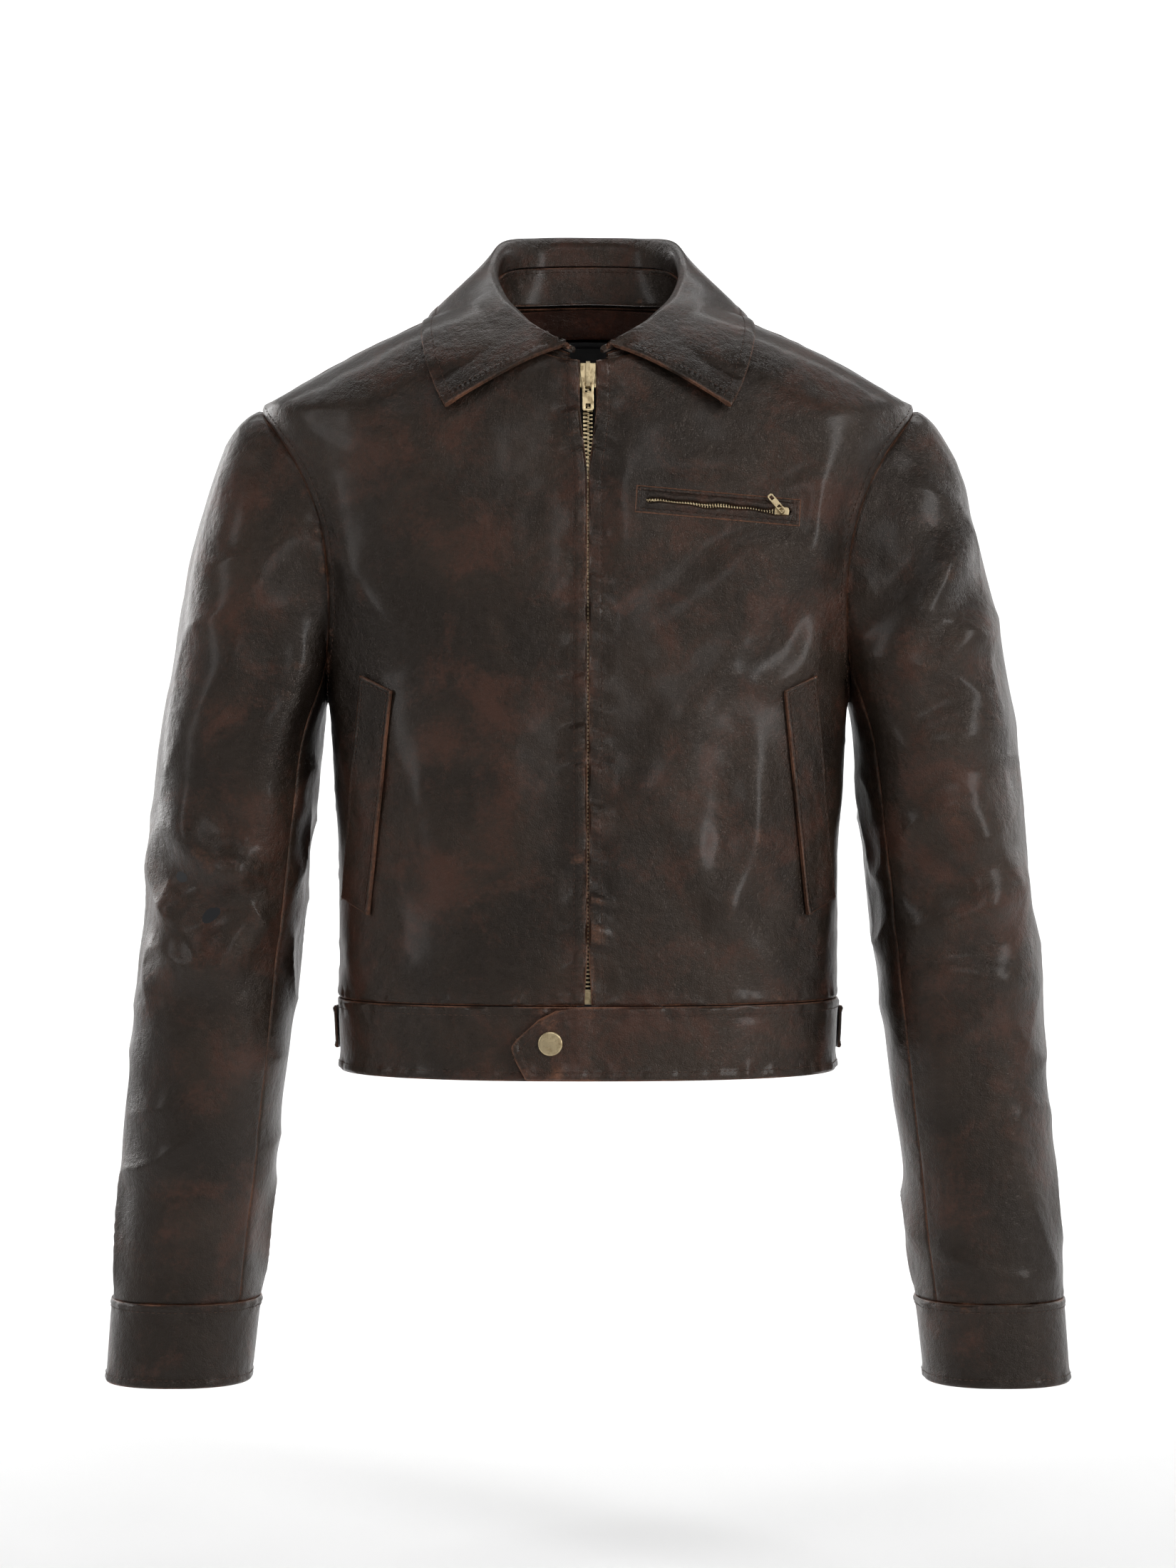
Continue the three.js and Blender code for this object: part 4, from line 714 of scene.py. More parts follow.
class Finish:
    """A material made of nodes."""

    def __init__(self, name, **shader):
        self.material = bpy.data.materials.new(name)
        self.material.use_nodes = True
        self.tree = self.material.node_tree
        self.shader = self.tree.nodes["Principled BSDF"]
        for socket, value in shader.items():
            self.shader.inputs[socket.replace("_", " ")].default_value = value
        place = self.node("ShaderNodeTexCoord", {}, {})
        self.place = Value(self, place.outputs["Object"])

    def node(self, kind, settings, sockets):
        node = self.tree.nodes.new(kind)
        for name, value in settings.items():
            setattr(node, name, value)
        for key, value in sockets.items():
            if isinstance(value, Value):
                self.tree.links.new(value.socket, node.inputs[key])
            else:
                node.inputs[key].default_value = value
        return node

    def noise(self, scale, detail=2.0, roughness=0.5, distortion=0.0):
        sockets = {"Vector": self.place, "Scale": scale, "Detail": detail, "Roughness": roughness,
                   "Distortion": distortion}
        return Value(self, self.node("ShaderNodeTexNoise", {}, sockets).outputs[0])

    def cells(self, scale):
        """The distance to the edges of small irregular cells."""
        node = self.node("ShaderNodeTexVoronoi", {"feature": "DISTANCE_TO_EDGE"},
                         {"Vector": self.place, "Scale": scale})
        return Value(self, node.outputs[0])

    def wave(self, scale, direction, distortion=0.0):
        node = self.node("ShaderNodeTexWave", {"bands_direction": direction},
                         {"Vector": self.place, "Scale": scale, "Distortion": distortion})
        return Value(self, node.outputs["Fac"])

    def ramp(self, value, low, high):
        node = self.node("ShaderNodeMapRange", {"interpolation_type": "SMOOTHSTEP"},
                         {"Value": value, "From Min": low, "From Max": high})
        return Value(self, node.outputs[0])

    def attribute(self, name):
        node = self.node("ShaderNodeAttribute", {"attribute_name": name}, {})
        return Value(self, node.outputs["Fac"])

    def mix(self, share, first, second):
        node = self.node("ShaderNodeMix", {"data_type": "RGBA"}, {0: share, 6: first, 7: second})
        return Value(self, node.outputs[2])

    def colour(self, value):
        self.tree.links.new(value.socket, self.shader.inputs["Base Color"])

    def roughness(self, value):
        self.tree.links.new(value.socket, self.shader.inputs["Roughness"])

    def bump(self, *layers):
        """Layers of (height, strength, distance in metres), the broadest first."""
        normal = None
        for height, strength, distance in layers:
            sockets = {"Height": height, "Strength": strength, "Distance": distance}
            if normal:
                sockets["Normal"] = normal
            normal = Value(self, self.node("ShaderNodeBump", {}, sockets).outputs[0])
        self.tree.links.new(normal.socket, self.shader.inputs["Normal"])


def rgb(r, g, b):
    return (r, g, b, 1.0)


def leather_finish(name, dark, middle, red, tan, redness):
    """Waxed leather, rubbed through to red and tan on its folds and edges."""
    finish = Finish(name, IOR=1.5, Coat_Weight=0.12, Coat_Roughness=0.2, Specular_IOR_Level=0.4,
                    Specular_Tint=rgb(1.0, 0.86, 0.77))
    clouds = finish.noise(9, 5, 0.62, 0.4)
    patches = finish.noise(27, 8, 0.72, 0.5)
    specks = finish.noise(520, 3, 0.6)
    lumps = finish.noise(210, 3, 0.55)
    wear = finish.attribute("wear")
    base = finish.mix(finish.ramp(clouds + 0.2 * (lumps - 0.5), 0.36, 0.66), dark, middle)
    rubbed = finish.ramp(patches + 0.5 * (clouds - 0.5) + 0.3 * (specks - 0.5), 0.46, 0.72) * redness
    base = finish.mix(rubbed, base, red)
    edge = finish.ramp(wear * (0.45 + 1.1 * specks), 0.3, 1.0)
    finish.colour(finish.mix(edge * 0.8, base, tan))
    finish.roughness(0.22 + 0.16 * clouds + 0.12 * specks + 0.08 * patches + 0.08 * edge)
    grain = finish.ramp(finish.cells(820), 0.0, 0.24)
    creases = finish.ramp(finish.cells(230), 0.0, 0.1)
    finish.bump((finish.noise(42, 3, 0.6), 0.4, 0.004), (finish.noise(95, 4, 0.6), 0.55, 0.0022),
                (lumps, 0.6, 0.0009), (creases, 0.22, 0.0003), (grain, 0.5, 0.00026),
                (finish.noise(1500, 2, 0.5), 0.3, 0.00016))
    return finish.material


def satin_finish():
    finish = Finish("black satin", Roughness=0.42, Sheen_Weight=0.15)
    threads = finish.wave(900, "DIAGONAL")
    finish.colour(finish.mix(finish.noise(30, 3, 0.5), rgb(0.004, 0.004, 0.005), rgb(0.012, 0.012, 0.014)))
    finish.roughness(0.34 + 0.18 * finish.noise(60, 3))
    finish.bump((finish.noise(22, 3, 0.5), 0.3, 0.003), (threads, 0.08, 0.0001))
    return finish.material


def tape_finish():
    finish = Finish("zip tape cloth", Roughness=0.85)
    warp = finish.wave(520, "X")
    weft = finish.wave(520, "Z")
    finish.colour(finish.mix(finish.noise(300, 2), rgb(0.008, 0.006, 0.005), rgb(0.022, 0.017, 0.014)))
    finish.bump((warp * weft, 0.5, 0.0003))
    return finish.material


def brass_finish():
    finish = Finish("aged brass", Metallic=1.0)
    tarnish = finish.ramp(finish.noise(260, 5, 0.65), 0.42, 0.72)
    finish.colour(finish.mix(tarnish, rgb(0.7, 0.57, 0.35), rgb(0.4, 0.3, 0.17)))
    finish.roughness(0.32 + 0.16 * tarnish + 0.08 * finish.noise(1800, 2))
    scratches = finish.wave(1400, "X", distortion=2.0)
    finish.bump((finish.noise(900, 3), 0.06, 0.0001), (scratches, 0.03, 0.00005))
    return finish.material


def thread_finish():
    finish = Finish("waxed thread", Roughness=0.6)
    finish.colour(finish.mix(finish.noise(160, 3), rgb(0.022, 0.011, 0.008), rgb(0.11, 0.052, 0.03)))
    finish.bump((finish.wave(2600, "DIAGONAL"), 0.4, 0.0001))
    return finish.material


def label_finish():
    finish = Finish("woven label", Roughness=0.6, Sheen_Weight=0.2)
    finish.colour(finish.mix(finish.noise(500, 2), rgb(0.004, 0.004, 0.004), rgb(0.01, 0.01, 0.011)))
    finish.bump((finish.wave(1300, "X"), 0.3, 0.0001), (finish.wave(1300, "Z"), 0.3, 0.0001))
    return finish.material


LEATHER = leather_finish("distressed leather", rgb(0.0088, 0.0058, 0.004), rgb(0.026, 0.0168, 0.0115),
                         rgb(0.06, 0.023, 0.0145), rgb(0.21, 0.09, 0.05), 0.85)
FACING_LEATHER = leather_finish("facing leather", rgb(0.03, 0.012, 0.008), rgb(0.07, 0.024, 0.015),
                                rgb(0.12, 0.036, 0.02), rgb(0.22, 0.09, 0.05), 0.9)
SATIN, TAPE_CLOTH, BRASS = satin_finish(), tape_finish(), brass_finish()
THREAD, LABEL = thread_finish(), label_finish()

# ---- Body panels ----
ALL = (0, None)
lower_levels = 1 + 4 * spaced(200, 1.7)
curve_levels = (6 - np.cos(np.linspace(0, math.pi, 82)))[1:]
upper_levels = np.linspace(7, 9, 44)[1:]
front_levels = np.concatenate([lower_levels, curve_levels, upper_levels])
front_columns = spaced(240, GRID_STEP)
underarm_row = len(lower_levels) - 1
armhole_top_row = underarm_row + len(curve_levels)


front_a = lerp(lip_phi(front_levels)[:, None], front_edge_phi(front_levels)[:, None], front_columns[None])
front_b = np.broadcast_to(front_levels[:, None], front_a.shape)
front_seams = [
    ("left", ALL, PLACKET_ROW, 0.95), ("right", (0, underarm_row + 1), 0, 0.25),
    ("right", (underarm_row, armhole_top_row + 1), 5.5, 0.25, True),
    ("right", (armhole_top_row, None), 0, 0.15),
    ("bottom", ALL, 0, 0.5), ("top", ALL, 0, 0.2)]
for side, sign, carve in (("left", 1, chest_carve), ("right", -1, None)):
    panel(f"{side}_front_leather", on_side(body_skin, sign), front_a, front_b, front_seams, LEATHER,
          [f"{side}_front"], seed=10 + sign, carve=carve)


def back_grid(left, right, top_share_from, top_share_to, width):
    """Columns between two seams, from the waistband to the yoke's curved seam."""
    u = spaced(width, GRID_STEP)
    v = spaced(330, GRID_STEP)
    level = lerp(1, yoke_level(lerp(top_share_from, top_share_to, u))[None], v[:, None])
    phi = lerp(left(level), right(level), u[None])
    return phi, level


side_a, side_b = back_grid(back_edge_phi, princess_phi, 0, 0.45, 96)
middle_a, middle_b = back_grid(princess_phi, lambda level: BACK + 0 * level, 0.45, 1, 100)
underarm_back = int(np.argmin(np.abs(side_b[:, 0] - UNDERARM)))
side_seams = [("left", (0, underarm_back + 1), 0, 0.2), ("left", (underarm_back, None), 5.5, 0.25, True),
              ("right", ALL, 0, 0.2), ("bottom", ALL, 0, 0.4), ("top", ALL, 0, 0.2)]
for side, sign in (("left", 1), ("right", -1)):
    centre_row = 5 if side == "left" else 0
    middle_seams = [("left", ALL, 6, 0.7), ("right", ALL, centre_row, 0.55), ("bottom", ALL, 0, 0.4),
                    ("top", ALL, 0, 0.2)]
    panel(f"{side}_side_back_leather", on_side(body_skin, sign), side_a, side_b, side_seams, LEATHER,
          [f"{side}_side_back"], seed=20 + sign)
    panel(f"{side}_back_panel_leather", on_side(body_skin, sign), middle_a, middle_b, middle_seams, LEATHER,
          [f"{side}_back_panel"], seed=24 + sign)

# The yoke covers both shoulders in one piece.
yoke_share = np.linspace(0, 1, 90)
yoke_share = np.concatenate([[0, 0.002, 0.005], yoke_share[1:]])
yoke_v = np.concatenate([[0, 0.004, 0.01, 0.02], np.linspace(0.035, 1, 62)])
yoke_b = lerp(yoke_level(yoke_share)[None], 9, yoke_v[:, None])
yoke_a = lerp(back_edge_phi(yoke_b), BACK, yoke_share[None])
yoke_a = np.concatenate([yoke_a, 2 * BACK - yoke_a[:, -2::-1]], axis=1)
yoke_b = np.concatenate([yoke_b, yoke_b[:, -2::-1]], axis=1)
yoke_armhole = int(np.argmin(np.abs(yoke_b[:, 0] - ARMHOLE_TOP))) + 1
yoke_seams = [("bottom", ALL, 6, 0.12), ("top", ALL, 0, 0.1)]
for end in ("left", "right"):
    yoke_seams += [(end, (0, yoke_armhole), 0, 0.1, True), (end, (yoke_armhole - 1, None), 5, 0.15)]
panel("back_yoke_leather", body_skin, yoke_a, yoke_b, yoke_seams, LEATHER, ["back_yoke"], seed=31)

# ---- Waistband and tabs ----
BAND_ROW = 5.5  # its stitching, from its edges
BAND_TOP_LEVEL = 0.985
TAB_FACE = BAND_OUT + SNAP_STACK + TAB_THICKNESS
TAB_ROOT_X = 6
TAB_TIP_X = -46
tab_tip_phi = -phi_at_x(-TAB_TIP_X, 0.45, 0, SIDE)
tab_root_phi = phi_at_x(TAB_ROOT_X, 0.5, 0, SIDE)
band_u = np.concatenate([np.linspace(SIDE, tab_root_phi, 100)[:-1],
                         np.linspace(tab_root_phi, tab_tip_phi, 46)])
band_v = spaced(BAND_HEIGHT, 2)
band_x = base_body(band_u, 0.5)[..., 0]
# The tab's top edge sweeps down from the band's seam to its tip; its lower corner is cut off straight.
TAB_X = [-46, -43.5, -37, -30, -20, -2, 8]
TAB_TOP = [0.46, 0.55, 0.68, 0.82, 0.93, BAND_TOP_LEVEL, BAND_TOP_LEVEL]
TAB_BOTTOM = [0.4, 0.26, 0.0, 0.0, 0.0, 0.0, 0.0]
band_top, band_bottom = np.interp(band_x, TAB_X, TAB_TOP), np.interp(band_x, TAB_X, TAB_BOTTOM)
band_b = lerp(band_bottom[None], band_top[None], band_v[:, None])
band_a = np.broadcast_to(band_u[None], band_b.shape)
lap = lerp(0, 2, smooth(-band_x, -60, -14)) + (TAB_FACE - BAND_OUT - 2) * smooth(-band_x, -9, 7)
band_seams = [("bottom", ALL, BAND_ROW, 0.5), ("top", ALL, BAND_ROW, 0.55), ("left", ALL, 0, 0),
              ("right", ALL, 5, 0)]
hinge = body(tab_root_phi, 0.5, 2)
panel("waistband_left_with_tab_leather", body_skin, band_a, band_b, band_seams, LEATHER,
      ["left_band", "waist_tab"], out=BAND_OUT, thickness=TAB_THICKNESS,
      extra=np.broadcast_to(lap[None], band_b.shape), seed=41, folds=0.35,
      bend=("waist_tab", hinge + (3, 0, 0), hinge - (4, 0, 0)))

right_u = np.linspace(phi_at_x(0.6, 0.5, 0, SIDE), SIDE, 112)
right_b = lerp(0, BAND_TOP_LEVEL, band_v[:, None]) + 0 * right_u[None]
right_a = np.broadcast_to(right_u[None], right_b.shape)
plain_band_seams = [("bottom", ALL, BAND_ROW, 0.5), ("top", ALL, BAND_ROW, 0.55), ("left", ALL, 0, 0),
                    ("right", ALL, 0, 0)]
panel("waistband_right_leather", on_side(body_skin, -1), right_a, right_b, plain_band_seams, LEATHER,
      ["right_band"], out=BAND_OUT, thickness=BAND_THICKNESS, seed=43, folds=0.35)
back_u = np.linspace(SIDE, 2 * BACK - SIDE, 210)
back_b = lerp(0, BAND_TOP_LEVEL, band_v[:, None]) + 0 * back_u[None]
panel("waistband_back_leather", body_skin, np.broadcast_to(back_u[None], back_b.shape), back_b,
      plain_band_seams, LEATHER, ["back_band"], out=BAND_OUT, thickness=BAND_THICKNESS, seed=45,
      folds=0.35)

SIDE_TAB_ROOT = math.radians(93)
SIDE_TAB_LENGTH = 64
SIDE_TAB_HEIGHT = 27
SIDE_TAB_LEVEL = 0.55
ring_phi = np.linspace(SIDE_TAB_ROOT, BACK, 400)
ring_points = body(ring_phi, SIDE_TAB_LEVEL)
ring_run = np.concatenate([[0], np.cumsum(np.linalg.norm(np.diff(ring_points, axis=0), axis=1))])


def phi_along(distance):
    return np.interp(distance, ring_run, ring_phi)


side_u = spaced(SIDE_TAB_LENGTH, 1.6)
side_v = spaced(SIDE_TAB_HEIGHT, 1.8)
side_half = SIDE_TAB_HEIGHT / 2 / BAND_HEIGHT * (1 - 0.85 * np.clip((side_u - 0.8) / 0.2, 0, 1))
side_tab_b = SIDE_TAB_LEVEL + lerp(-side_half[None], side_half[None], side_v[:, None])
side_tab_a = np.broadcast_to(phi_along(side_u * SIDE_TAB_LENGTH)[None], side_tab_b.shape)
tab_seams = [("bottom", ALL, 3.5, 0.15), ("top", ALL, 3.5, 0.15), ("right", ALL, 0, 0), ("left", ALL, 0, 0)]
for side, sign in (("left", 1), ("right", -1)):
    root = body(SIDE_TAB_ROOT, SIDE_TAB_LEVEL, 4) * (sign, 1, 1)
    further = body(phi_along(6.0), SIDE_TAB_LEVEL, 4) * (sign, 1, 1)
    panel(f"{side}_side_tab_leather", on_side(body_skin, sign), side_tab_a, side_tab_b, tab_seams, LEATHER,
          [f"{side}_side_tab"], out=TAB_FACE, thickness=TAB_THICKNESS, body=f"{side}_side_tab",
          bend=(f"{side}_side_tab", root, further), seed=47 + sign, folds=0.0)

# ---- Sleeves ----
FRONT_SEAM = math.radians(140)
sleeve_ring = np.concatenate([[0, 0.01, 0.025, 0.045], np.linspace(0.07, 7.9, 268), [7.93, 7.96, 7.98]])
VENT_TOP, VENT_BOTTOM = -566, -646


def back_seam(ring, twist):
    return np.radians(281 + twist * smooth(ring, 3, 8))


def snap_place(origin, outward):
    turn = Vector((0, 0, 1)).rotation_difference(Vector(outward)).to_matrix().to_4x4()
    return Matrix.Translation(Vector(origin)) @ turn


# Each snap: its tab's body, its cap's node, its stud's node and its place. A spare stud has no tab or cap.
snaps = []
for side, sign, twist in (("left", 1, 29), ("right", -1, 0)):
    skin = on_side(sleeve_skin, sign)
    seam = back_seam(sleeve_ring, twist)[:, None]
    ring = sleeve_ring[:, None]
    upper_u, under_u = spaced(200, GRID_STEP)[None], spaced(130, GRID_STEP)[None]
    upper_a = lerp(seam - 2 * math.pi, FRONT_SEAM, upper_u)
    under_a = lerp(FRONT_SEAM + 0 * seam, seam, under_u)

    def lifted(points, edge):
        """The seam stays open above the cuff, and its outer edge stands off."""
        distance, _ = measure(points[:, edge], points)
        z = points[..., 2]
        opening = smooth(z, VENT_BOTTOM, VENT_BOTTOM + 30) * (1 - smooth(z, VENT_TOP - 12, VENT_TOP + 8))
        return 2.6 * opening * np.exp(-((distance / 9) ** 2))

    upper_points, _ = skin(upper_a, ring)
    panel(f"{side}_upper_sleeve_leather", skin, upper_a, ring + 0 * upper_a,
          [("left", ALL, 6, 0.42), ("right", ALL, 0, 0.12), ("bottom", ALL, 0, 0.3, True),
           ("top", ALL, 0, 0.3)], LEATHER, [f"{side}_upper_sleeve"], seed=60 + sign,
          creases=lambda p, s=sign: sleeve_creases(p, s), extra=lifted(upper_points, 0))
    panel(f"{side}_under_sleeve_leather", skin, under_a, ring + 0 * under_a,
          [("left", ALL, 0, 0.12), ("right", ALL, 0, 0.12), ("bottom", ALL, 0, 0.25, True),
           ("top", ALL, 0, 0.3)], LEATHER, [f"{side}_under_sleeve"], seed=64 + sign,
          creases=lambda p, s=sign: sleeve_creases(p, s))

    lining_a = np.linspace(0, 2 * math.pi, 97)[:-1][None]
    lining_b = np.linspace(0.5, 8.6, 110)[:, None]
    points, normals = skin(lining_a, lining_b)
    rumple = -5.2 + 1.6 * (noise(points, 24, 70) - 0.5)
    grids = [points + normals * (rumple - less)[..., None] for less in (0, 0.5)]
    place_piece(f"{side}_sleeve_lining_satin", mesh_from("lining", [shell(*grids, closed=True)]), SATIN,
                [f"{side}_sleeve_lining"])

    vent = float(back_seam(CUFF_START, twist))
    cuff_a = vent + spaced(2 * 130, 2.0)[None] * 2 * math.pi
    cuff_b = lerp(CUFF_START - 0.02, CUFF_END, spaced(CUFF_HEIGHT, GRID_STEP))[:, None]
    panel(f"{side}_cuff_leather", skin, cuff_a + 0 * cuff_b, cuff_b + 0 * cuff_a,
          [("left", ALL, 0, 0), ("right", ALL, 0, 0), ("bottom", ALL, 5, 0.35), ("top", ALL, 5, 0.3)],
          LEATHER, [f"{side}_cuff"], out=0.8, thickness=2.4, seed=68 + sign, folds=0.5)

    # The tab is as high as the cuff, and its end slants to a point below its middle.
    root_turn, tip_turn = vent + 0.36, vent - 0.5
    tab_u, tab_v = spaced(42, 1.5), spaced(46, 1.8)
    slant_top = 0.7 * np.clip((tab_u - 0.72) / 0.28, 0, 1)
    slant_bottom = 0.2 * np.clip((tab_u - 0.82) / 0.18, 0, 1)
    tab_top, tab_bottom = CUFF_START + 0.05 + slant_top, CUFF_END - 0.02 - slant_bottom
    tab_b = lerp(tab_top[None], tab_bottom[None], tab_v[:, None])
    tab_a = np.broadcast_to(lerp(root_turn, tip_turn, tab_u)[None], tab_b.shape)
    root, _ = skin(root_turn, 8.5)
    further, _ = skin(lerp(root_turn, tip_turn, 0.12), 8.5)
    panel(f"{side}_cuff_tab_leather", skin, tab_a, tab_b,
          [("bottom", ALL, 3.5, 0.2), ("top", ALL, 3.5, 0.2), ("right", ALL, 3.5, 0), ("left", ALL, 0, 0)],
          LEATHER, [f"{side}_cuff_tab"], out=0.8 + SNAP_STACK + TAB_THICKNESS,
          thickness=TAB_THICKNESS, body=f"{side}_cuff_tab", bend=(f"{side}_cuff_tab", root, further),
          seed=72 + sign, folds=0.0)
    origin, normal = skin(lerp(root_turn, tip_turn, 0.5), CUFF_START + 0.58)
    snaps.append((f"{side}_cuff_tab", f"{side}_cuff_snap_cap", f"{side}_cuff_stud",
                  snap_place(origin + normal * 0.8, normal)))

# ---- Collar ----
# Half of the line where the collar folds over, and half of its outer edge, from the centre of the back.
ROLL = np.array([(0, BACK_DEPTH - 47, 5 + STAND_HEIGHT), (32, 62, 51), (54, 38, 44), (58, 6, 22),
                 (52, -24, 2),
                 (41, -47, -13), (26, -66, -28), (7, -84, -41)], float)
EDGE = np.array([(0, 88, 5 + STAND_HEIGHT - LEAF_HEIGHT - 1), (40, 86, -4), (80, 70, -5), (101, 14, -7),
                 (103, -22, -22), (102, -52, -42), (96, -80, -63), COLLAR_POINT], float)
STAND_SEAM = 0.56
COLLAR_THICKNESS = 2.2


def collar_line(points, share):
    t = np.abs(share) * (len(points) - 1) + 1
    whole = np.concatenate([points[1:2] * (-1, 1, 1), points])
    x, y, z = (through(whole[:, k], t) for k in range(3))
    return xyz(np.sign(share) * np.abs(x), y, z)


def neck_line(share):
    size = np.abs(share)
    inset = lerp(-1, -3.7, smooth(size, 0.28, 0.46))
    lift = lerp(2.1, -1, smooth(size, 0.46, 0.7))
    phi = BACK - size * (BACK - lip_phi(9.0))
    point = body(phi, NECK + 0 * phi, inset) + xyz(0 * size, 0 * size, lift)
    return point * xyz(np.where(share < 0, -1, 1), 1, 1)


def smooth_path(points, count):
    """Points along a curve through the given ones, for every share at once: (shares, points, 3)."""
    t = np.linspace(0, points.shape[1] - 1, count)
    grid = [[through(points[s, :, k], t) for k in range(3)] for s in range(points.shape[0])]
    return np.array(grid).transpose(0, 2, 1)


def leaf_points(share):
    low, roll, edge = neck_line(share), collar_line(ROLL, share), collar_line(EDGE, share)
    fall = edge - roll
    outward = unit(fall * (1, 1, 0))
    stand = np.linalg.norm(roll - low, axis=-1, keepdims=True)
    rise = np.minimum(4, stand * 0.3)
    start = lerp(low, roll, STAND_SEAM + 0.8 / stand)
    shoulder = roll + outward * rise
    steep = smooth(-fall[..., 2:] / np.linalg.norm(fall, axis=-1, keepdims=True), 0.45, 0.85)
    up = np.array([0.0, 0.0, 1.0])
    below = roll + outward * 2.1 * rise + up * lerp(1, -rise, steep)

    def bulge(f, more):
        return lerp(below, edge, f) + outward * more * steep + up * more * (1 - steep)

    path = [start, lerp(low, roll, 0.86), shoulder, below, bulge(0.3, 3), bulge(0.65, 2.5), edge]
    return np.stack(path, axis=1)


rest_phi, rest_level = np.meshgrid(np.linspace(0, BACK, 120), np.linspace(6.8, 9, 60))
rest_points, rest_normals = (g.reshape(-1, 3) for g in body_skin(rest_phi, rest_level))
rest_points = rest_points + rest_normals * fold_height(rest_points, rest_normals)[:, None]


def resting(points, clear):
    """Points moved out where they would lie in the shoulders or the chest."""
    near = points.reshape(-1, 3) * xyz(np.where(points.reshape(-1, 3)[:, 0] < 0, -1, 1), 1, 1)
    squared = (near ** 2).sum(1)[:, None] - 2 * near @ rest_points.T + (rest_points ** 2).sum(1)[None]
    nearest = squared.argmin(1)
    height = ((near - rest_points[nearest]) * rest_normals[nearest]).sum(1)
    near = near + rest_normals[nearest] * np.maximum(clear - height, 0)[:, None]
    return (near * xyz(np.where(points.reshape(-1, 3)[:, 0] < 0, -1, 1), 1, 1)).reshape(points.shape)


def grid_normals(grid):
    across, along = np.gradient(grid, axis=1), np.gradient(grid, axis=0)
    return unit(np.cross(across, along))


def collar_piece(name, grid, node, rows, seed):
    """A collar sheet from its middle grid (path points by shares). The face is on the normals' side."""
    normals = grid_normals(grid)
    sewn, wear, _, found = sew(grid, rows, seed)
    slack = 0.5 * (noise(grid, 22, seed) - 0.5) + 0.9 * (noise(grid, 48, seed + 1) - 0.5)
    half = COLLAR_THICKNESS / 2
    face = grid + normals * (half + slack + sewn)[..., None]
    back = grid + normals * (slack - half - sewn * 0.6)[..., None]
    wear = np.clip(wear, 0, 1)
    for end, span, row, distance in found:
        for surface, lift in ((face, STITCH_LIFT), (back, -STITCH_LIFT)):
            line = row_points(surface + normals * lift, distance, row, end, span)
            if len(line) > 3:
                stitch_rows.setdefault("jacket", []).append(line)
    place_piece(name, mesh_from(name, [shell(face, back)], [wear, wear]), LEATHER, [node])


leaf_share = np.concatenate([[-0.985, -0.983, -0.979, -0.973], np.linspace(-0.965, 0.965, 230),
                             [0.973, 0.979, 0.983, 0.985]])
leaf = smooth_path(leaf_points(leaf_share), 60)
rim = lerp(leaf[:, -2:-1], leaf[:, -1:], np.array([0.4, 0.75, 1])[:, None])
leaf = np.concatenate([leaf[:, :-1], rim], axis=1)
outer_part = resting(leaf[:, 24:], COLLAR_THICKNESS / 2 + 1.3)
leaf = np.concatenate([leaf[:, :24], outer_part], axis=1).transpose(1, 0, 2)
collar_piece("collar_leaf_leather", leaf[:, ::-1], "collar_leaf",
             [("top", ALL, 7, 0.1), ("left", (20, None), 7, 0.08), ("right", (20, None), 7, 0.08)], 80)
stand_share = np.linspace(-0.97, 0.97, 200)
low, roll = neck_line(stand_share), collar_line(ROLL, stand_share)
stand = np.stack([lerp(low, roll, f) for f in np.linspace(0, STAND_SEAM - 0.012, 24)], axis=0)
collar_piece("collar_stand_leather", stand[:, ::-1], "collar_stand",
             [("top", ALL, 3, 0.08), ("bottom", ALL, 0, 0.05)], 84)

# ---- Facings and linings ----
FACING_WIDTH = 45
FACING_DEPTH = 8.85
LINING_DEPTH = 9
LINING_LOW = 0.08
inside_levels = np.concatenate([np.linspace(LINING_LOW, UNDERARM, 60),
                                (6 - np.cos(np.linspace(0, math.pi, 40)))[1:],
                                np.linspace(ARMHOLE_TOP, 8.96, 30)[1:]])


def inside(name, skin, a, b, depth, thickness, finish, slot, nodes, rumple, seed):
    """A lining or a facing, `depth` inside the leather's face."""
    points, normals = skin(a, b)
    top = -depth + rumple * (noise(points, 26, seed) - 0.5)
    grids = [points + normals * (top - less)[..., None] for less in (0, thickness)]
    mesh = mesh_from(name, [shell(*grids)], [0 * top, 0 * top])
    return place_piece(name, mesh, finish, nodes)


facing_a = phi_at_x(lerp(7, FACING_WIDTH, np.linspace(0, 1, 16))[None], inside_levels[:, None], 0, SIDE)
ease = np.where(inside_levels > 4.6, math.radians(5), 0)[:, None]
lining_from = phi_at_x(FACING_WIDTH + 2, inside_levels, 0, SIDE)[:, None]
lining_a = lerp(lining_from, front_edge_phi(inside_levels)[:, None] - ease, np.linspace(0, 1, 50)[None])
lining_back = np.where(inside_levels > ARMHOLE_TOP, SIDE - math.radians(2.5),
                       back_edge_phi(inside_levels) + ease[:, 0])[:, None]
inside_b = inside_levels[:, None]
for side, sign in (("left", 1), ("right", -1)):
    skin = on_side(body_skin, sign)
    inside(f"{side}_facing_leather", skin, facing_a, inside_b + 0 * facing_a, FACING_DEPTH,
           FACING_THICKNESS, FACING_LEATHER, "facing_leather", [f"{side}_facing"], 0.3, 90)
    inside(f"{side}_front_lining_satin", skin, lining_a, inside_b + 0 * lining_a, LINING_DEPTH,
           LINING_THICKNESS, SATIN, "black_lining", [f"{side}_front_lining"], 1.0, 92)
back_lining_levels = inside_levels * 8.5 / 8.96
back_start = np.interp(back_lining_levels, inside_levels, lining_back[:, 0])[:, None]
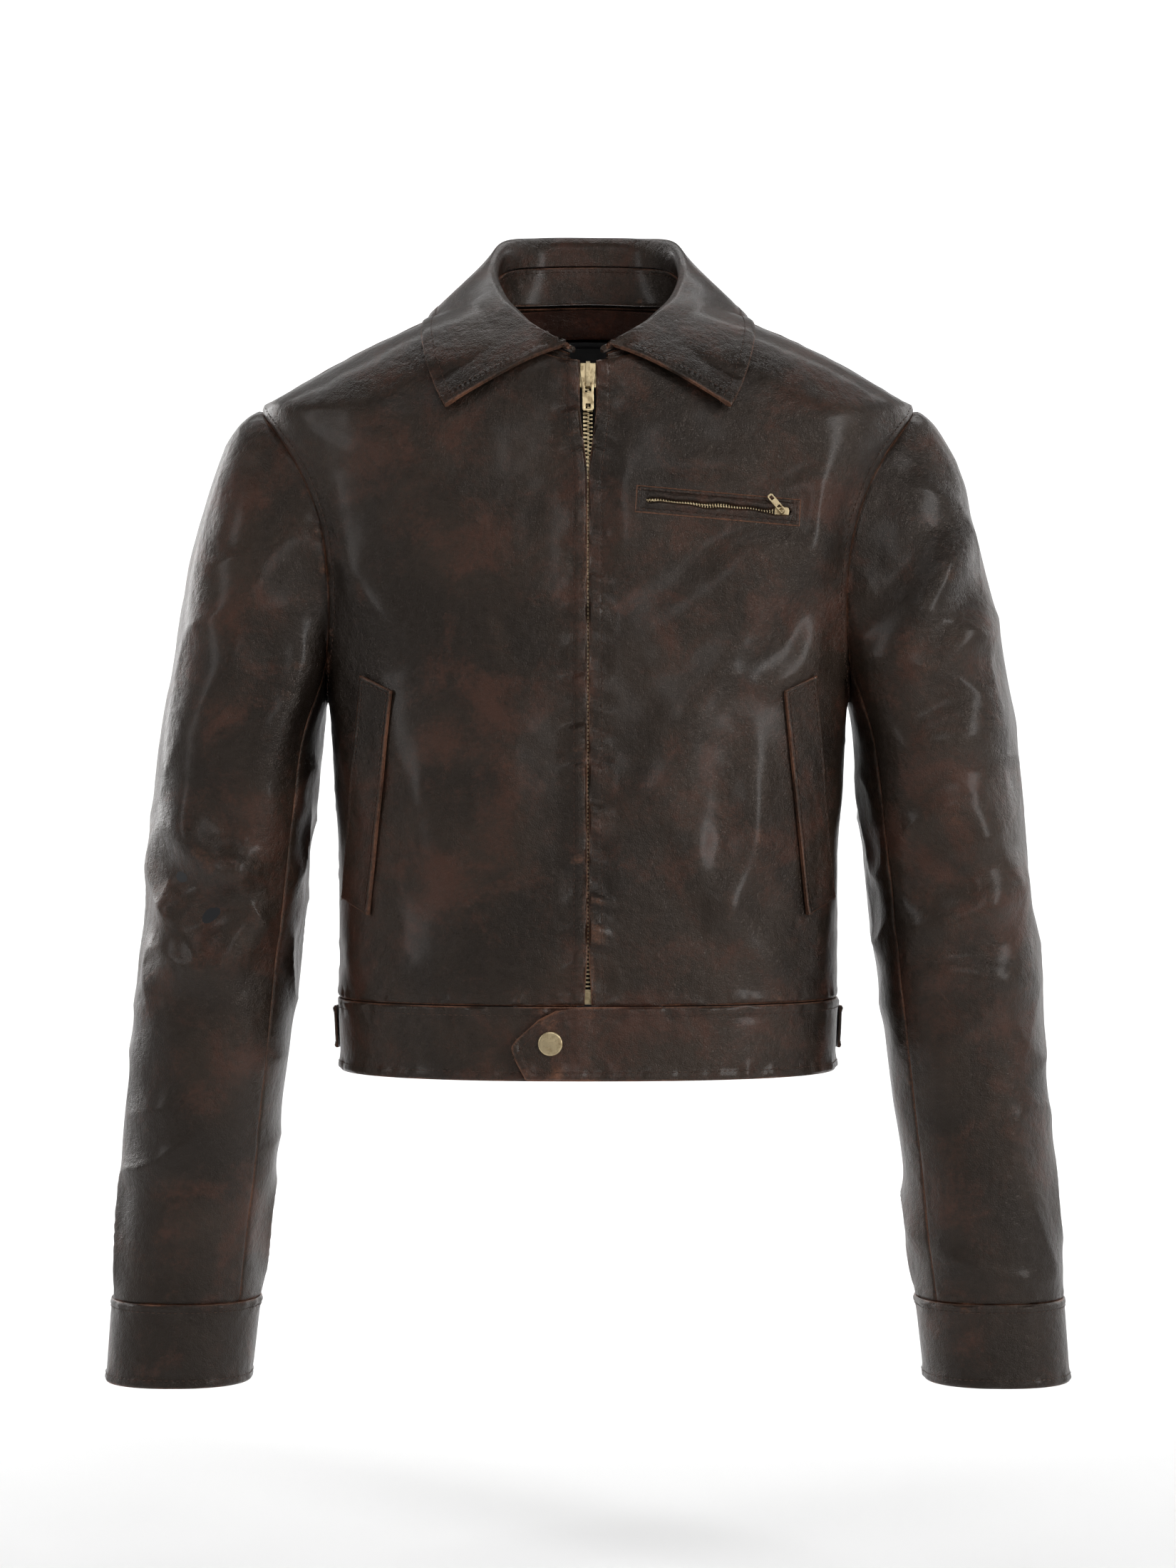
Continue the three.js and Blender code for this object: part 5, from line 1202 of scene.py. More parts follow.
back_lining_a = lerp(back_start, 2 * BACK - back_start, np.linspace(0, 1, 130)[None])
inside("back_lining_satin", body_skin, back_lining_a, back_lining_levels[:, None] + 0 * back_lining_a,
       LINING_DEPTH, LINING_THICKNESS, SATIN, "black_lining", ["back_lining"], 1.0, 94)
neck_levels = np.linspace(8.53, 8.98, 24)[:, None]
neck_start = SIDE - math.radians(2.5)
neck_a = lerp(neck_start, 2 * BACK - neck_start, np.linspace(0, 1, 90)[None])
inside("back_neck_facing_leather", body_skin, neck_a + 0 * neck_levels, neck_levels + 0 * neck_a,
       lerp(6.0, 2.9, smooth(neck_levels, 8.6, 8.98)) + 0 * neck_a, FACING_THICKNESS,
       FACING_LEATHER, "facing_leather", ["back_neck_facing"], 0.2, 96)
label_a = lerp(BACK - 0.5, BACK + 0.5, np.linspace(0, 1, 60))[None]
label_b = lerp(7.75, 8.4, np.linspace(0, 1, 24))[:, None]
inside("neck_label_cloth", body_skin, label_a + 0 * label_b, label_b + 0 * label_a, LINING_DEPTH + 2.0,
       LINING_THICKNESS, LABEL, "label", ["neck_label"], 0.3, 98)

# ---- Pockets ----
BAG_DEPTH = 4.4
chest_bag_x = CHEST_POCKET_X + lerp(-32, 46, np.linspace(0, 1, 26))[None]
chest_bag_z = CHEST_POCKET_Z + lerp(-75, 5, np.linspace(0, 1, 26))[:, None]
chest_bag_z = chest_bag_z + CHEST_TILT * (chest_bag_x - CHEST_POCKET_X)
hand_bag_z = BAND_TOP_Z + 14 + np.linspace(0, 1, 40)[:, None] * 171
hand_bag_x = lerp(58, 138 - 8 * np.linspace(0, 1, 40)[:, None], np.linspace(0, 1, 26)[None])
bags = [("chest_pocket_bag", 1, chest_bag_x + 0 * chest_bag_z, chest_bag_z),
        ("left_hand_pocket_bag", 1, hand_bag_x, hand_bag_z + 0 * hand_bag_x),
        ("right_hand_pocket_bag", -1, hand_bag_x, hand_bag_z + 0 * hand_bag_x)]
for node, sign, x, z in bags:
    phi, level = on_surface(base_body, x, z)
    inside(f"{node}_satin", on_side(body_skin, sign), phi, level, BAG_DEPTH + 0.4, BAG_THICKNESS, SATIN,
           "black_lining", [node], 0.3, 99)

# Each hand pocket's welt: its inner edge is sewn down, its outer edge is the mouth, and both ends slant.
welt_u, welt_v = spaced(19, 1.3), spaced(140, 1.7)
welt_inner = lerp(136.5, 122, welt_v)[:, None]
welt_outer = lerp(154, 142, welt_v)[:, None]
welt_x = lerp(welt_inner, welt_outer, welt_u[None])
welt_z = -394 + 140 * welt_v[:, None] + 10 * welt_u[None]
welt_phi, welt_level = on_surface(base_body, welt_x, welt_z)
for side, sign in (("left", 1), ("right", -1)):
    panel(f"{side}_hand_pocket_welt_leather", on_side(body_skin, sign), welt_phi, welt_level,
          [("left", ALL, 2.6, 0.12), ("right", ALL, 2.8, 0.12), ("bottom", ALL, 2.6, 0.1),
           ("top", ALL, 2.6, 0.1)], LEATHER, [f"{side}_hand_pocket_welt"], out=2.5,
          thickness=WELT_THICKNESS, seed=100 + sign)


# The chest pocket's frame: two padded lips that meet in a wavy line over the chain.
def chest_grid(x, height, z):
    flat = CHEST_ORIGIN + x[..., None] * CHEST_ALONG + z[..., None] * CHEST_ACROSS
    return flat - height[..., None] * CHEST_INWARD


FRAME_ROW, FRAME_FACE = 2.4, 1.2  # its stitching: from the rim, and above the leather's plane
frame_half, frame_high = CHEST_POCKET_LENGTH / 2, CHEST_POCKET_HEIGHT / 2
frame_u, frame_v = lerp(-frame_half, frame_half, spaced(CHEST_POCKET_LENGTH, 0.9)), spaced(8, 0.45)
mouth = smooth(frame_half - np.abs(frame_u), 5.5, 8)
wavy = 0.5 * np.sin(frame_u / 6.5) + 0.45 * np.sin(frame_u / 3.1 + 1)
gap_half = mouth * np.clip(0.9 + 0.35 * np.sin(frame_u / 7.7 + 2) + 0.9 * smooth(frame_u, 30, 38), 0.35, 2)
lips, lip_wear = [], []
for up in (1, -1):
    inner_edge = 0.7 * wavy * mouth + up * gap_half
    z = lerp(up * frame_high, inner_edge[None], frame_v[:, None])
    x = frame_u[None] + 0 * z
    to_gap = np.abs(z - inner_edge[None])
    to_rim = np.minimum(frame_high - np.abs(z), frame_half - np.abs(x))
    ripple = line_noise(x, 3.6, 110 + up) - 0.5
    height = 1.15 + 1.25 * mouth * np.exp(-(((to_gap - 2.2) / 2.1) ** 2)) * (1 + 0.7 * ripple)
    height = height + 0.35 * ripple * smooth(to_rim, 0.5, 1.5)
    height = height - 0.9 * np.exp(-((to_rim / 0.7) ** 2)) - 1.3 * mouth * np.exp(-((to_gap / 0.7) ** 2))
    height = height - 0.4 * np.exp(-(((to_rim - FRAME_ROW) / 0.6) ** 2))
    face = chest_grid(x, height, z)
    back = chest_grid(x, height * 0 - 0.9, z)
    lips.append(shell(face, back))
    worn = np.clip(np.exp(-((to_rim / 1.0) ** 2)) * 0.9 + 0.5 * mouth * np.exp(-((to_gap / 0.9) ** 2)), 0, 1)
    lip_wear += [worn, worn * 0]
    x = frame_u[3:-3]
    stitch_rows["jacket"].append(chest_grid(x, 0 * x + FRAME_FACE, 0 * x + up * (frame_high - FRAME_ROW)))
for end in (-1, 1):
    z = np.linspace(-frame_high + FRAME_ROW, frame_high - FRAME_ROW, 12)
    stitch_rows["jacket"].append(chest_grid(0 * z + end * (frame_half - FRAME_ROW), 0 * z + FRAME_FACE, z))
place_piece("chest_pocket_frame_leather", mesh_from("frame", lips, lip_wear), LEATHER,
            ["chest_pocket_frame"])


# ---- Metal and small parts ----
def plate(outlines, thickness, bevel):
    """A flat plate with rounded edges in the XY plane, centred on Z, from its outline and its holes."""
    curve = bpy.data.curves.new("plate", "CURVE")
    curve.dimensions = "2D"
    curve.fill_mode = "BOTH"
    curve.extrude = thickness / 2 - bevel
    curve.bevel_depth = bevel
    curve.bevel_resolution = 1
    curve.offset = -bevel
    for outline in outlines:
        spline = curve.splines.new("POLY")
        spline.points.add(len(outline) - 1)
        for point, (x, y) in zip(spline.points, outline):
            point.co = (x, y, 0, 1)
        spline.use_cyclic_u = True
    obj = add_object("plate", curve)
    mesh = bpy.data.meshes.new_from_object(obj.evaluated_get(bpy.context.evaluated_depsgraph_get()))
    bpy.data.objects.remove(obj)
    bpy.data.curves.remove(curve)
    return mesh


def rounded(corners, radius, steps=3):
    """A polygon's outline with rounded corners."""
    points = []
    for k, corner in enumerate(corners):
        here = Vector(corner)
        before, after = Vector(corners[k - 1]), Vector(corners[(k + 1) % len(corners)])
        a, b = here + (before - here).normalized() * radius, here + (after - here).normalized() * radius
        for i in range(steps + 1):
            t = i / steps
            points.append(tuple((1 - t) ** 2 * a + 2 * t * (1 - t) * here + t * t * b))
    return points


def rectangle(x0, x1, y0, y1, radius):
    return rounded([(x0, y0), (x1, y0), (x1, y1), (x0, y1)], radius)


def lathe(profile, segments):
    """A solid of revolution round Z from (radius, height) points that start and end on the axis."""
    work = bmesh.new()
    rings = []
    for radius, height in profile:
        if radius == 0:
            rings.append([work.verts.new((0, 0, height))])
        else:
            turns = [2 * math.pi * k / segments for k in range(segments)]
            circle = [(radius * math.cos(t), radius * math.sin(t), height) for t in turns]
            rings.append([work.verts.new(point) for point in circle])
    for a, b in zip(rings, rings[1:]):
        for k in range(segments):
            n = (k + 1) % segments
            corners = [a[k % len(a)], a[n % len(a)], b[n % len(b)], b[k % len(b)]]
            corners = list(dict.fromkeys(corners))
            if len(corners) > 2:
                work.faces.new(corners)
    bmesh.ops.recalc_face_normals(work, faces=work.faces)
    return to_mesh(work)


def to_mesh(work):
    mesh = bpy.data.meshes.new("part")
    work.to_mesh(mesh)
    work.free()
    return mesh


def strip(path, width, thickness):
    """A bent strip. path holds (y, z) points of its outer face; it is `width` wide across X."""
    work = bmesh.new()
    path = [Vector(p) for p in path]
    sections = []
    for k, point in enumerate(path):
        along = (path[min(k + 1, len(path) - 1)] - path[max(k - 1, 0)]).normalized()
        inner = point + Vector((-along.y, along.x)) * thickness
        corners = [(-width / 2, point), (width / 2, point), (width / 2, inner), (-width / 2, inner)]
        sections.append([work.verts.new((x, p.x, p.y)) for x, p in corners])
    for a, b in zip(sections, sections[1:]):
        for k in range(4):
            work.faces.new((a[k], a[(k + 1) % 4], b[(k + 1) % 4], b[k]))
    work.faces.new(sections[0][::-1])
    work.faces.new(sections[-1])
    bmesh.ops.recalc_face_normals(work, faces=work.faces)
    long_edges = [e for e in work.edges if abs(e.verts[0].co.x - e.verts[1].co.x) < 1e-6]
    bmesh.ops.bevel(work, geom=long_edges, offset=thickness * 0.22, segments=2, affect="EDGES")
    return to_mesh(work)


def box_part(x0, x1, y0, y1, z0, z1, bevel):
    work = bmesh.new()
    bmesh.ops.create_cube(work, size=1)
    for vertex in work.verts:
        vertex.co = Vector((lerp(x0, x1, vertex.co.x + 0.5), lerp(y0, y1, vertex.co.y + 0.5),
                            lerp(z0, z1, vertex.co.z + 0.5)))
    bmesh.ops.bevel(work, geom=work.edges[:], offset=bevel, segments=2, affect="EDGES")
    return to_mesh(work)


def assemble(name, parts, place):
    """Several (mesh, local matrix) parts, in mm, as one mesh in its place."""
    work = bmesh.new()
    for mesh, local in parts:
        mesh.transform(Matrix.Scale(MM, 4) @ place @ local)
        work.from_mesh(mesh)
        bpy.data.meshes.remove(mesh)
    joined = to_mesh(work)
    joined.name = name
    return joined


FACING_OUT = Matrix.Rotation(math.pi / 2, 4, "X")  # turns a plate's XY plane to XZ, with its face towards -Y
HERE = Matrix.Identity(4)

# Snaps: a domed cap with a rolled rim on the tab, and a stud with a collar on the leather under it.
CAP_FLOOR = SNAP_STACK + TAB_THICKNESS
CAP = [(0, CAP_FLOOR + 1.55), (3.4, CAP_FLOOR + 1.5), (5.6, CAP_FLOOR + 1.38), (6.2, CAP_FLOOR + 1.42),
       (6.8, CAP_FLOOR + 1.38), (7.25, CAP_FLOOR + 1.15), (7.5, CAP_FLOOR + 0.75), (7.4, CAP_FLOOR + 0.35),
       (7.1, CAP_FLOOR + 0.1), (1.7, CAP_FLOOR), (1.7, SNAP_STACK - 0.2), (5.3, SNAP_STACK - 0.2),
       (5.5, SNAP_STACK - 0.5), (5.5, 1.3), (5.2, 1.15), (2.7, 1.15), (2.7, 2.3), (0, 2.3)]
STUD = [(0, -3.9), (4.3, -3.9), (4.5, -3.6), (4.5, -3.3), (1.6, -3.2), (1.6, 0.2), (4.3, 0.2), (4.5, 0.4),
        (4.5, 0.7), (4.2, 0.95), (3.5, 0.95), (3.2, 0.7), (2.6, 0.7), (1.8, 0.85), (2.0, 1.3), (2.2, 1.6),
        (2.1, 1.9), (1.7, 2.05), (0, 2.05)]
waist_origin = body(-phi_at_x(23.0, 0.5, 0, SIDE), 0.5, BAND_OUT)
snaps.append(("waist_tab", "waist_snap_cap", "waist_snap_stud", snap_place(waist_origin, (0, -1, 0.08))))
for side, sign in (("left", 1), ("right", -1)):
    for distance, tab in ((SIDE_TAB_LENGTH - 14, True), (SIDE_TAB_LENGTH - 14 + 25, False)):
        origin, normal = on_side(body_skin, sign)(phi_along(distance), SIDE_TAB_LEVEL)
        place = snap_place(origin + normal * BAND_OUT, normal)
        if tab:
            snaps.append((f"{side}_side_tab", f"{side}_side_snap_cap", f"{side}_side_stud", place))
        else:
            snaps.append((None, None, f"{side}_spare_stud", place))
for tab, cap_node, stud_node, place in snaps:
    if tab:
        cap = assemble(cap_node, [(lathe(CAP, 56), HERE)], place)
        place_piece(f"{cap_node}_brass", cap, BRASS, [cap_node], tab, sharp=35)
    stud = assemble(stud_node, [(lathe(STUD, 40), HERE)], place)
    place_piece(f"{stud_node}_brass", stud, BRASS, [stud_node], sharp=35)

# The front zip. Local axes: X across, +Y into the jacket, Z up along the zip, from the zip's top.
ZIP_TURN = math.atan(FRONT_SLOPE)
ZIP_PLACE = Matrix.Translation((0, FRONT_TOP_Y, -NECK_FRONT_DROP - 1)) @ Matrix.Rotation(-ZIP_TURN, 4, "X")
ZIP_LENGTH = (-NECK_FRONT_DROP - 1 - BAND_TOP_Z - 1) / math.cos(ZIP_TURN)
BEAD_DEPTH, BEAD_THICKNESS, SLIDER_HEIGHT = 3.95, 2.4, 15.5
TAPE_DEPTH = BEAD_DEPTH + BEAD_THICKNESS
TEETH_TOP = -SLIDER_HEIGHT * 0.35


def group_input(tree, name, kind):
    return tree.interface.new_socket(name=name, in_out="INPUT", socket_type=kind)


def repeat_tree(name, on_line):
    """Copies a small shape along lines (stitches) or along a straight run (teeth)."""
    tree = bpy.data.node_groups.new(name, "GeometryNodeTree")
    group_input(tree, "Geometry", "NodeSocketGeometry")
    for socket, kind in (("Pitch", "NodeSocketFloat"), ("Shape", "NodeSocketObject"),
                         ("Finish", "NodeSocketMaterial"), ("Seed", "NodeSocketInt"),
                         ("Unevenness", "NodeSocketFloat")):
        group_input(tree, socket, kind)
    tree.interface.new_socket(name="Geometry", in_out="OUTPUT", socket_type="NodeSocketGeometry")
    nodes, link = tree.nodes, tree.links.new
    source, sink = nodes.new("NodeGroupInput"), nodes.new("NodeGroupOutput")
    to_curve = nodes.new("GeometryNodeMeshToCurve")
    resample = nodes.new("GeometryNodeResampleCurve")
    resample.mode = "LENGTH"
    tangent = nodes.new("GeometryNodeInputTangent")
    align = nodes.new("FunctionNodeAlignRotationToVector")
    align.axis = "Z"
    shape = nodes.new("GeometryNodeObjectInfo")
    instance = nodes.new("GeometryNodeInstanceOnPoints")
    random = nodes.new("FunctionNodeRandomValue")
    random.data_type = "FLOAT"
    lower = nodes.new("ShaderNodeMath")
    lower.operation = "SUBTRACT"
    lower.inputs[0].default_value = 1
    realize = nodes.new("GeometryNodeRealizeInstances")
    finish = nodes.new("GeometryNodeSetMaterial")
    link(source.outputs["Geometry"], to_curve.inputs[0])
    link(to_curve.outputs[0], resample.inputs["Curve"])
    link(source.outputs["Pitch"], resample.inputs["Length"])
    link(tangent.outputs[0], align.inputs["Vector"])
    link(source.outputs["Shape"], shape.inputs["Object"])
    link(resample.outputs[0], instance.inputs["Points"])
    link(shape.outputs["Geometry"], instance.inputs["Instance"])
    if on_line:
        link(align.outputs[0], instance.inputs["Rotation"])
    link(source.outputs["Unevenness"], lower.inputs[1])
    link(lower.outputs[0], random.inputs[2])
    random.inputs[3].default_value = 1
    link(source.outputs["Seed"], random.inputs["Seed"])
    link(random.outputs[1], instance.inputs["Scale"])
    link(instance.outputs[0], realize.inputs[0])
    link(realize.outputs[0], finish.inputs["Geometry"])
    link(source.outputs["Finish"], finish.inputs["Material"])
    link(finish.outputs[0], sink.inputs[0])
    return tree


STITCH_TREE = repeat_tree("stitch rows", True)
TEETH_TREE = repeat_tree("zip teeth", False)


def repeat(name, tree, lines, pitch, shape, finish, unevenness, seed):
    """The mesh that a repeat tree makes along lines of points in mm."""
    vertices, edges = [], []
    for line in lines:
        start = len(vertices)
        vertices += (np.asarray(line) * MM).tolist()
        edges += [(start + k, start + k + 1) for k in range(len(line) - 1)]
    guide = bpy.data.meshes.new("guide")
    guide.from_pydata(vertices, edges, [])
    obj = add_object(name, guide)
    shape_obj = add_object("shape", shape)
    modifier = obj.modifiers.new("repeat", "NODES")
    modifier.node_group = tree
    values = {"Pitch": pitch * MM, "Shape": shape_obj, "Finish": finish, "Seed": seed,
              "Unevenness": unevenness}
    for item in tree.interface.items_tree:
        if item.in_out == "INPUT" and item.name in values:
            modifier[item.identifier] = values[item.name]
    obj.update_tag()
    bpy.context.view_layer.update()
    mesh = bpy.data.meshes.new_from_object(obj.evaluated_get(bpy.context.evaluated_depsgraph_get()))
    obj.modifiers.remove(modifier)
    for used in (obj, shape_obj):
        bpy.data.objects.remove(used)
    bpy.data.meshes.remove(guide)
    return mesh


def tooth_mesh(place, sign, size):
    """One tooth: a block that reaches over the middle, with a nub and a waist where it grips the tape."""
    parts = [(box_part(sign * -0.35, sign * 1.5, 0, 1.0, -0.24, 0.24, 0.09), HERE),
             (box_part(sign * 1.2, sign * 1.9, -0.05, 1.05, -0.36, 0.36, 0.1), HERE)]
    turn = place.to_3x3().to_4x4() @ Matrix.Diagonal((size, BEAD_THICKNESS * size / 2, size, 1))
    mesh = assemble("tooth", parts, turn)
    work = bmesh.new()
    work.from_mesh(mesh)
    bmesh.ops.recalc_face_normals(work, faces=work.faces)
    work.to_mesh(mesh)
    work.free()
    return mesh


def zip_line(place, start, end):
    return [np.array(place @ Vector(p)) for p in (start, end)]


ZIP_PITCH = 2.5
for side, sign, shift in (("left", 1, 0), ("right", -1, ZIP_PITCH / 2)):
    line = zip_line(ZIP_PLACE, (0, BEAD_DEPTH, TEETH_TOP - shift), (0, BEAD_DEPTH, -ZIP_LENGTH + 8.6))
    teeth = repeat("teeth", TEETH_TREE, [line], ZIP_PITCH, tooth_mesh(ZIP_PLACE, sign, 1.5), BRASS, 0.0, 1)
    place_piece(f"{side}_zip_teeth_brass", teeth, BRASS, sharp=30)
    near, far = (0.2, 16) if sign > 0 else (-16, -0.2)
    cloth = box_part(near, far, TAPE_DEPTH, TAPE_DEPTH + 0.8, -ZIP_LENGTH, -1, 0.15)
    tape = assemble("tape", [(cloth, HERE)], ZIP_PLACE)
    place_piece(f"{side}_zip_tape_cloth", tape, TAPE_CLOTH, [f"{side}_zip_half"])
box_half = 3.8
block = box_part(-box_half, box_half, BEAD_DEPTH - 0.3, TAPE_DEPTH - 0.3, -ZIP_LENGTH, -ZIP_LENGTH + 8, 0.35)
zip_box = assemble("zip box", [(block, HERE)], ZIP_PLACE)
place_piece("zip_box_brass", zip_box, BRASS, ["zip_box"], sharp=30)

SHIELD = rounded([(-5, -0.3), (5, -0.3), (5, -5.5), (3.9, -15.5), (-3.9, -15.5), (-5, -5.5)], 1.0)
CROWN_PATH = [(2.3, -0.6), (0.3, -0.55), (-1.6, -0.8), (-2.7, -1.9), (-3.1, -4.2), (-3.1, -11.6),
              (-2.7, -13.9), (-1.6, -15.0), (0.3, -15.2), (2.3, -15.2)]
slider_parts = [
    (plate([SHIELD], 1.2, 0.3), Matrix.Translation((0, 3.0, 0)) @ FACING_OUT),
    (strip(CROWN_PATH[::-1], 2.6, 0.8), HERE),
    (box_part(3.5, 5, 3.5, TAPE_DEPTH - 0.35, -SLIDER_HEIGHT, 0, 0.3), HERE),
    (box_part(-5, -3.5, 3.5, TAPE_DEPTH - 0.35, -SLIDER_HEIGHT, 0, 0.3), HERE)]
place_piece("main_slider_brass", assemble("slider", slider_parts, ZIP_PLACE), BRASS,
            ["main_slider"], "main_slider", sharp=30)
PULL_PLACE = ZIP_PLACE @ Matrix.Translation((0, -1, -SLIDER_HEIGHT + 2.4))
PULL = rounded([(-2.9, 0.6), (2.9, 0.6), (3.5, -1.2), (3.5, -17), (2.9, -18), (-2.9, -18), (-3.5, -17),
                (-3.5, -1.2)], 0.5)
pull_holes = [rectangle(-2, 2, -6.4, -0.55, 0.5), rectangle(-1.6, 1.6, -16.6, -13.6, 0.3)]
pull = assemble("pull", [(plate([PULL, *pull_holes], 1.2, 0.28), FACING_OUT)], PULL_PLACE)
place_piece("main_pull_brass", pull, BRASS, ["main_pull"], "main_pull", sharp=30)

# The chest zip. Local axes: X along the zip, +Y into the jacket, Z across it.
axes = Matrix((CHEST_ALONG, CHEST_INWARD, CHEST_ACROSS)).transposed().to_4x4()
CHEST_PLACE = Matrix.Translation(Vector(CHEST_ORIGIN)) @ axes
ALONG_X = Matrix.Rotation(math.pi / 2, 4, "Y")
CHEST_PITCH = 1.7
for name, sign, shift in (("upper", 1, 0), ("lower", -1, CHEST_PITCH / 2)):
    half = CHEST_WINDOW_HALF - 1.2
    line = zip_line(CHEST_PLACE, (-half + shift, 0.7, 0), (half, 0.7, 0))
    shape = tooth_mesh(CHEST_PLACE @ ALONG_X, -sign, 0.95)
    teeth = repeat("teeth", TEETH_TREE, [line], CHEST_PITCH, shape, BRASS, 0.0, 1)
    place_piece(f"chest_zip_{name}_teeth_brass", teeth, BRASS, sharp=30)
half = CHEST_POCKET_LENGTH / 2
chest_tape = assemble("tape", [(box_part(-half + 3, half - 4.5, 2.6, 3.5, -7, 7, 0.15), HERE)], CHEST_PLACE)
place_piece("chest_zip_tape_cloth", chest_tape, TAPE_CLOTH, ["chest_zip"])
CHEST_SLIDER_X = CHEST_WINDOW_HALF - 6
LUG_TURN = Matrix.Rotation(math.radians(45), 4, "Y")
SLIDER_OUTLINE = rounded([(-4.5, -2.6), (1.5, -3.3), (4.5, -3.3), (4.5, 3.3), (1.5, 3.3), (-4.5, 2.6)], 0.7)
LUG_PATH = [(0.2, -1.9), (-2.6, -1.8), (-3.9, -1.1), (-4.6, 0), (-3.9, 1.1), (-2.6, 1.8), (0.2, 1.9)]
chest_slider_parts = [(plate([SLIDER_OUTLINE], 1.05, 0.25), Matrix.Translation((0, -0.08, 0)) @ FACING_OUT),
                      (strip(LUG_PATH[::-1], 1.5, 0.7), LUG_TURN @ Matrix.Rotation(math.pi / 2, 4, "Y"))]
slider_place = CHEST_PLACE @ Matrix.Translation((CHEST_SLIDER_X, 0, 0))
place_piece("chest_slider_brass", assemble("slider", chest_slider_parts, slider_place), BRASS,
            ["chest_slider"], "chest_slider", sharp=30)
CHEST_PULL = rounded([(1.1, -1.8), (1.1, 1.8), (-3.5, 2), (-12, 2), (-13, 1.3), (-13, -1.3), (-12, -2),
                      (-3.5, -2)], 0.35)
chest_pull_holes = [rectangle(-4.2, 0.35, -1.05, 1.05, 0.3), rectangle(-11.8, -9, -1, 1, 0.25)]
chest_pull_place = slider_place @ Matrix.Translation((0, -3.2, 0)) @ LUG_TURN
chest_pull_plate = plate([CHEST_PULL, *chest_pull_holes], 1.0, 0.24)
chest_pull = assemble("pull", [(chest_pull_plate, FACING_OUT)], chest_pull_place)
place_piece("chest_pull_brass", chest_pull, BRASS, ["chest_pull"], "chest_pull", sharp=30)

# ---- Stitching ----
STITCH_PITCH = 3.6


def even_line(line, step=1.5):
    """A line of points again, with jumps left out, resampled evenly and smoothed."""
    gaps = np.linalg.norm(np.diff(line, axis=0), axis=1)
    keep = np.concatenate([[True], gaps > 0.02])
    line = line[keep]
    run = np.concatenate([[0], np.cumsum(np.linalg.norm(np.diff(line, axis=0), axis=1))])
    at = np.linspace(0, run[-1], max(int(run[-1] / step), 2))
    return np.stack([np.interp(at, run, line[:, k]) for k in range(3)], axis=1)


def whole_runs(line, jump=9):
    """A line split where its points jump."""
    gaps = np.linalg.norm(np.diff(line, axis=0), axis=1)
    pieces = np.split(line, np.nonzero(gaps > jump)[0] + 1)
    return [piece for piece in pieces if len(piece) > 3]


def stitch_shape():
    work = bmesh.new()
    bmesh.ops.create_uvsphere(work, u_segments=6, v_segments=4, radius=1)
    bmesh.ops.scale(work, vec=Vector((0.3, 0.3, 1.3)) * MM, verts=work.verts)
    return to_mesh(work)


for body_name, rows in stitch_rows.items():
    lines = [even_line(run) for row in rows for run in whole_runs(row)]
    mesh = repeat(f"{body_name}_stitches", STITCH_TREE, lines, STITCH_PITCH, stitch_shape(), THREAD, 0.15, 5)
    place_piece(f"{body_name}_stitching", mesh, THREAD, body=body_name, sharp=180)

# ---- Studio ----
floor_z = CUFF_EDGE_Z * MM - 0.15
floor_mesh = bpy.data.meshes.new("floor")
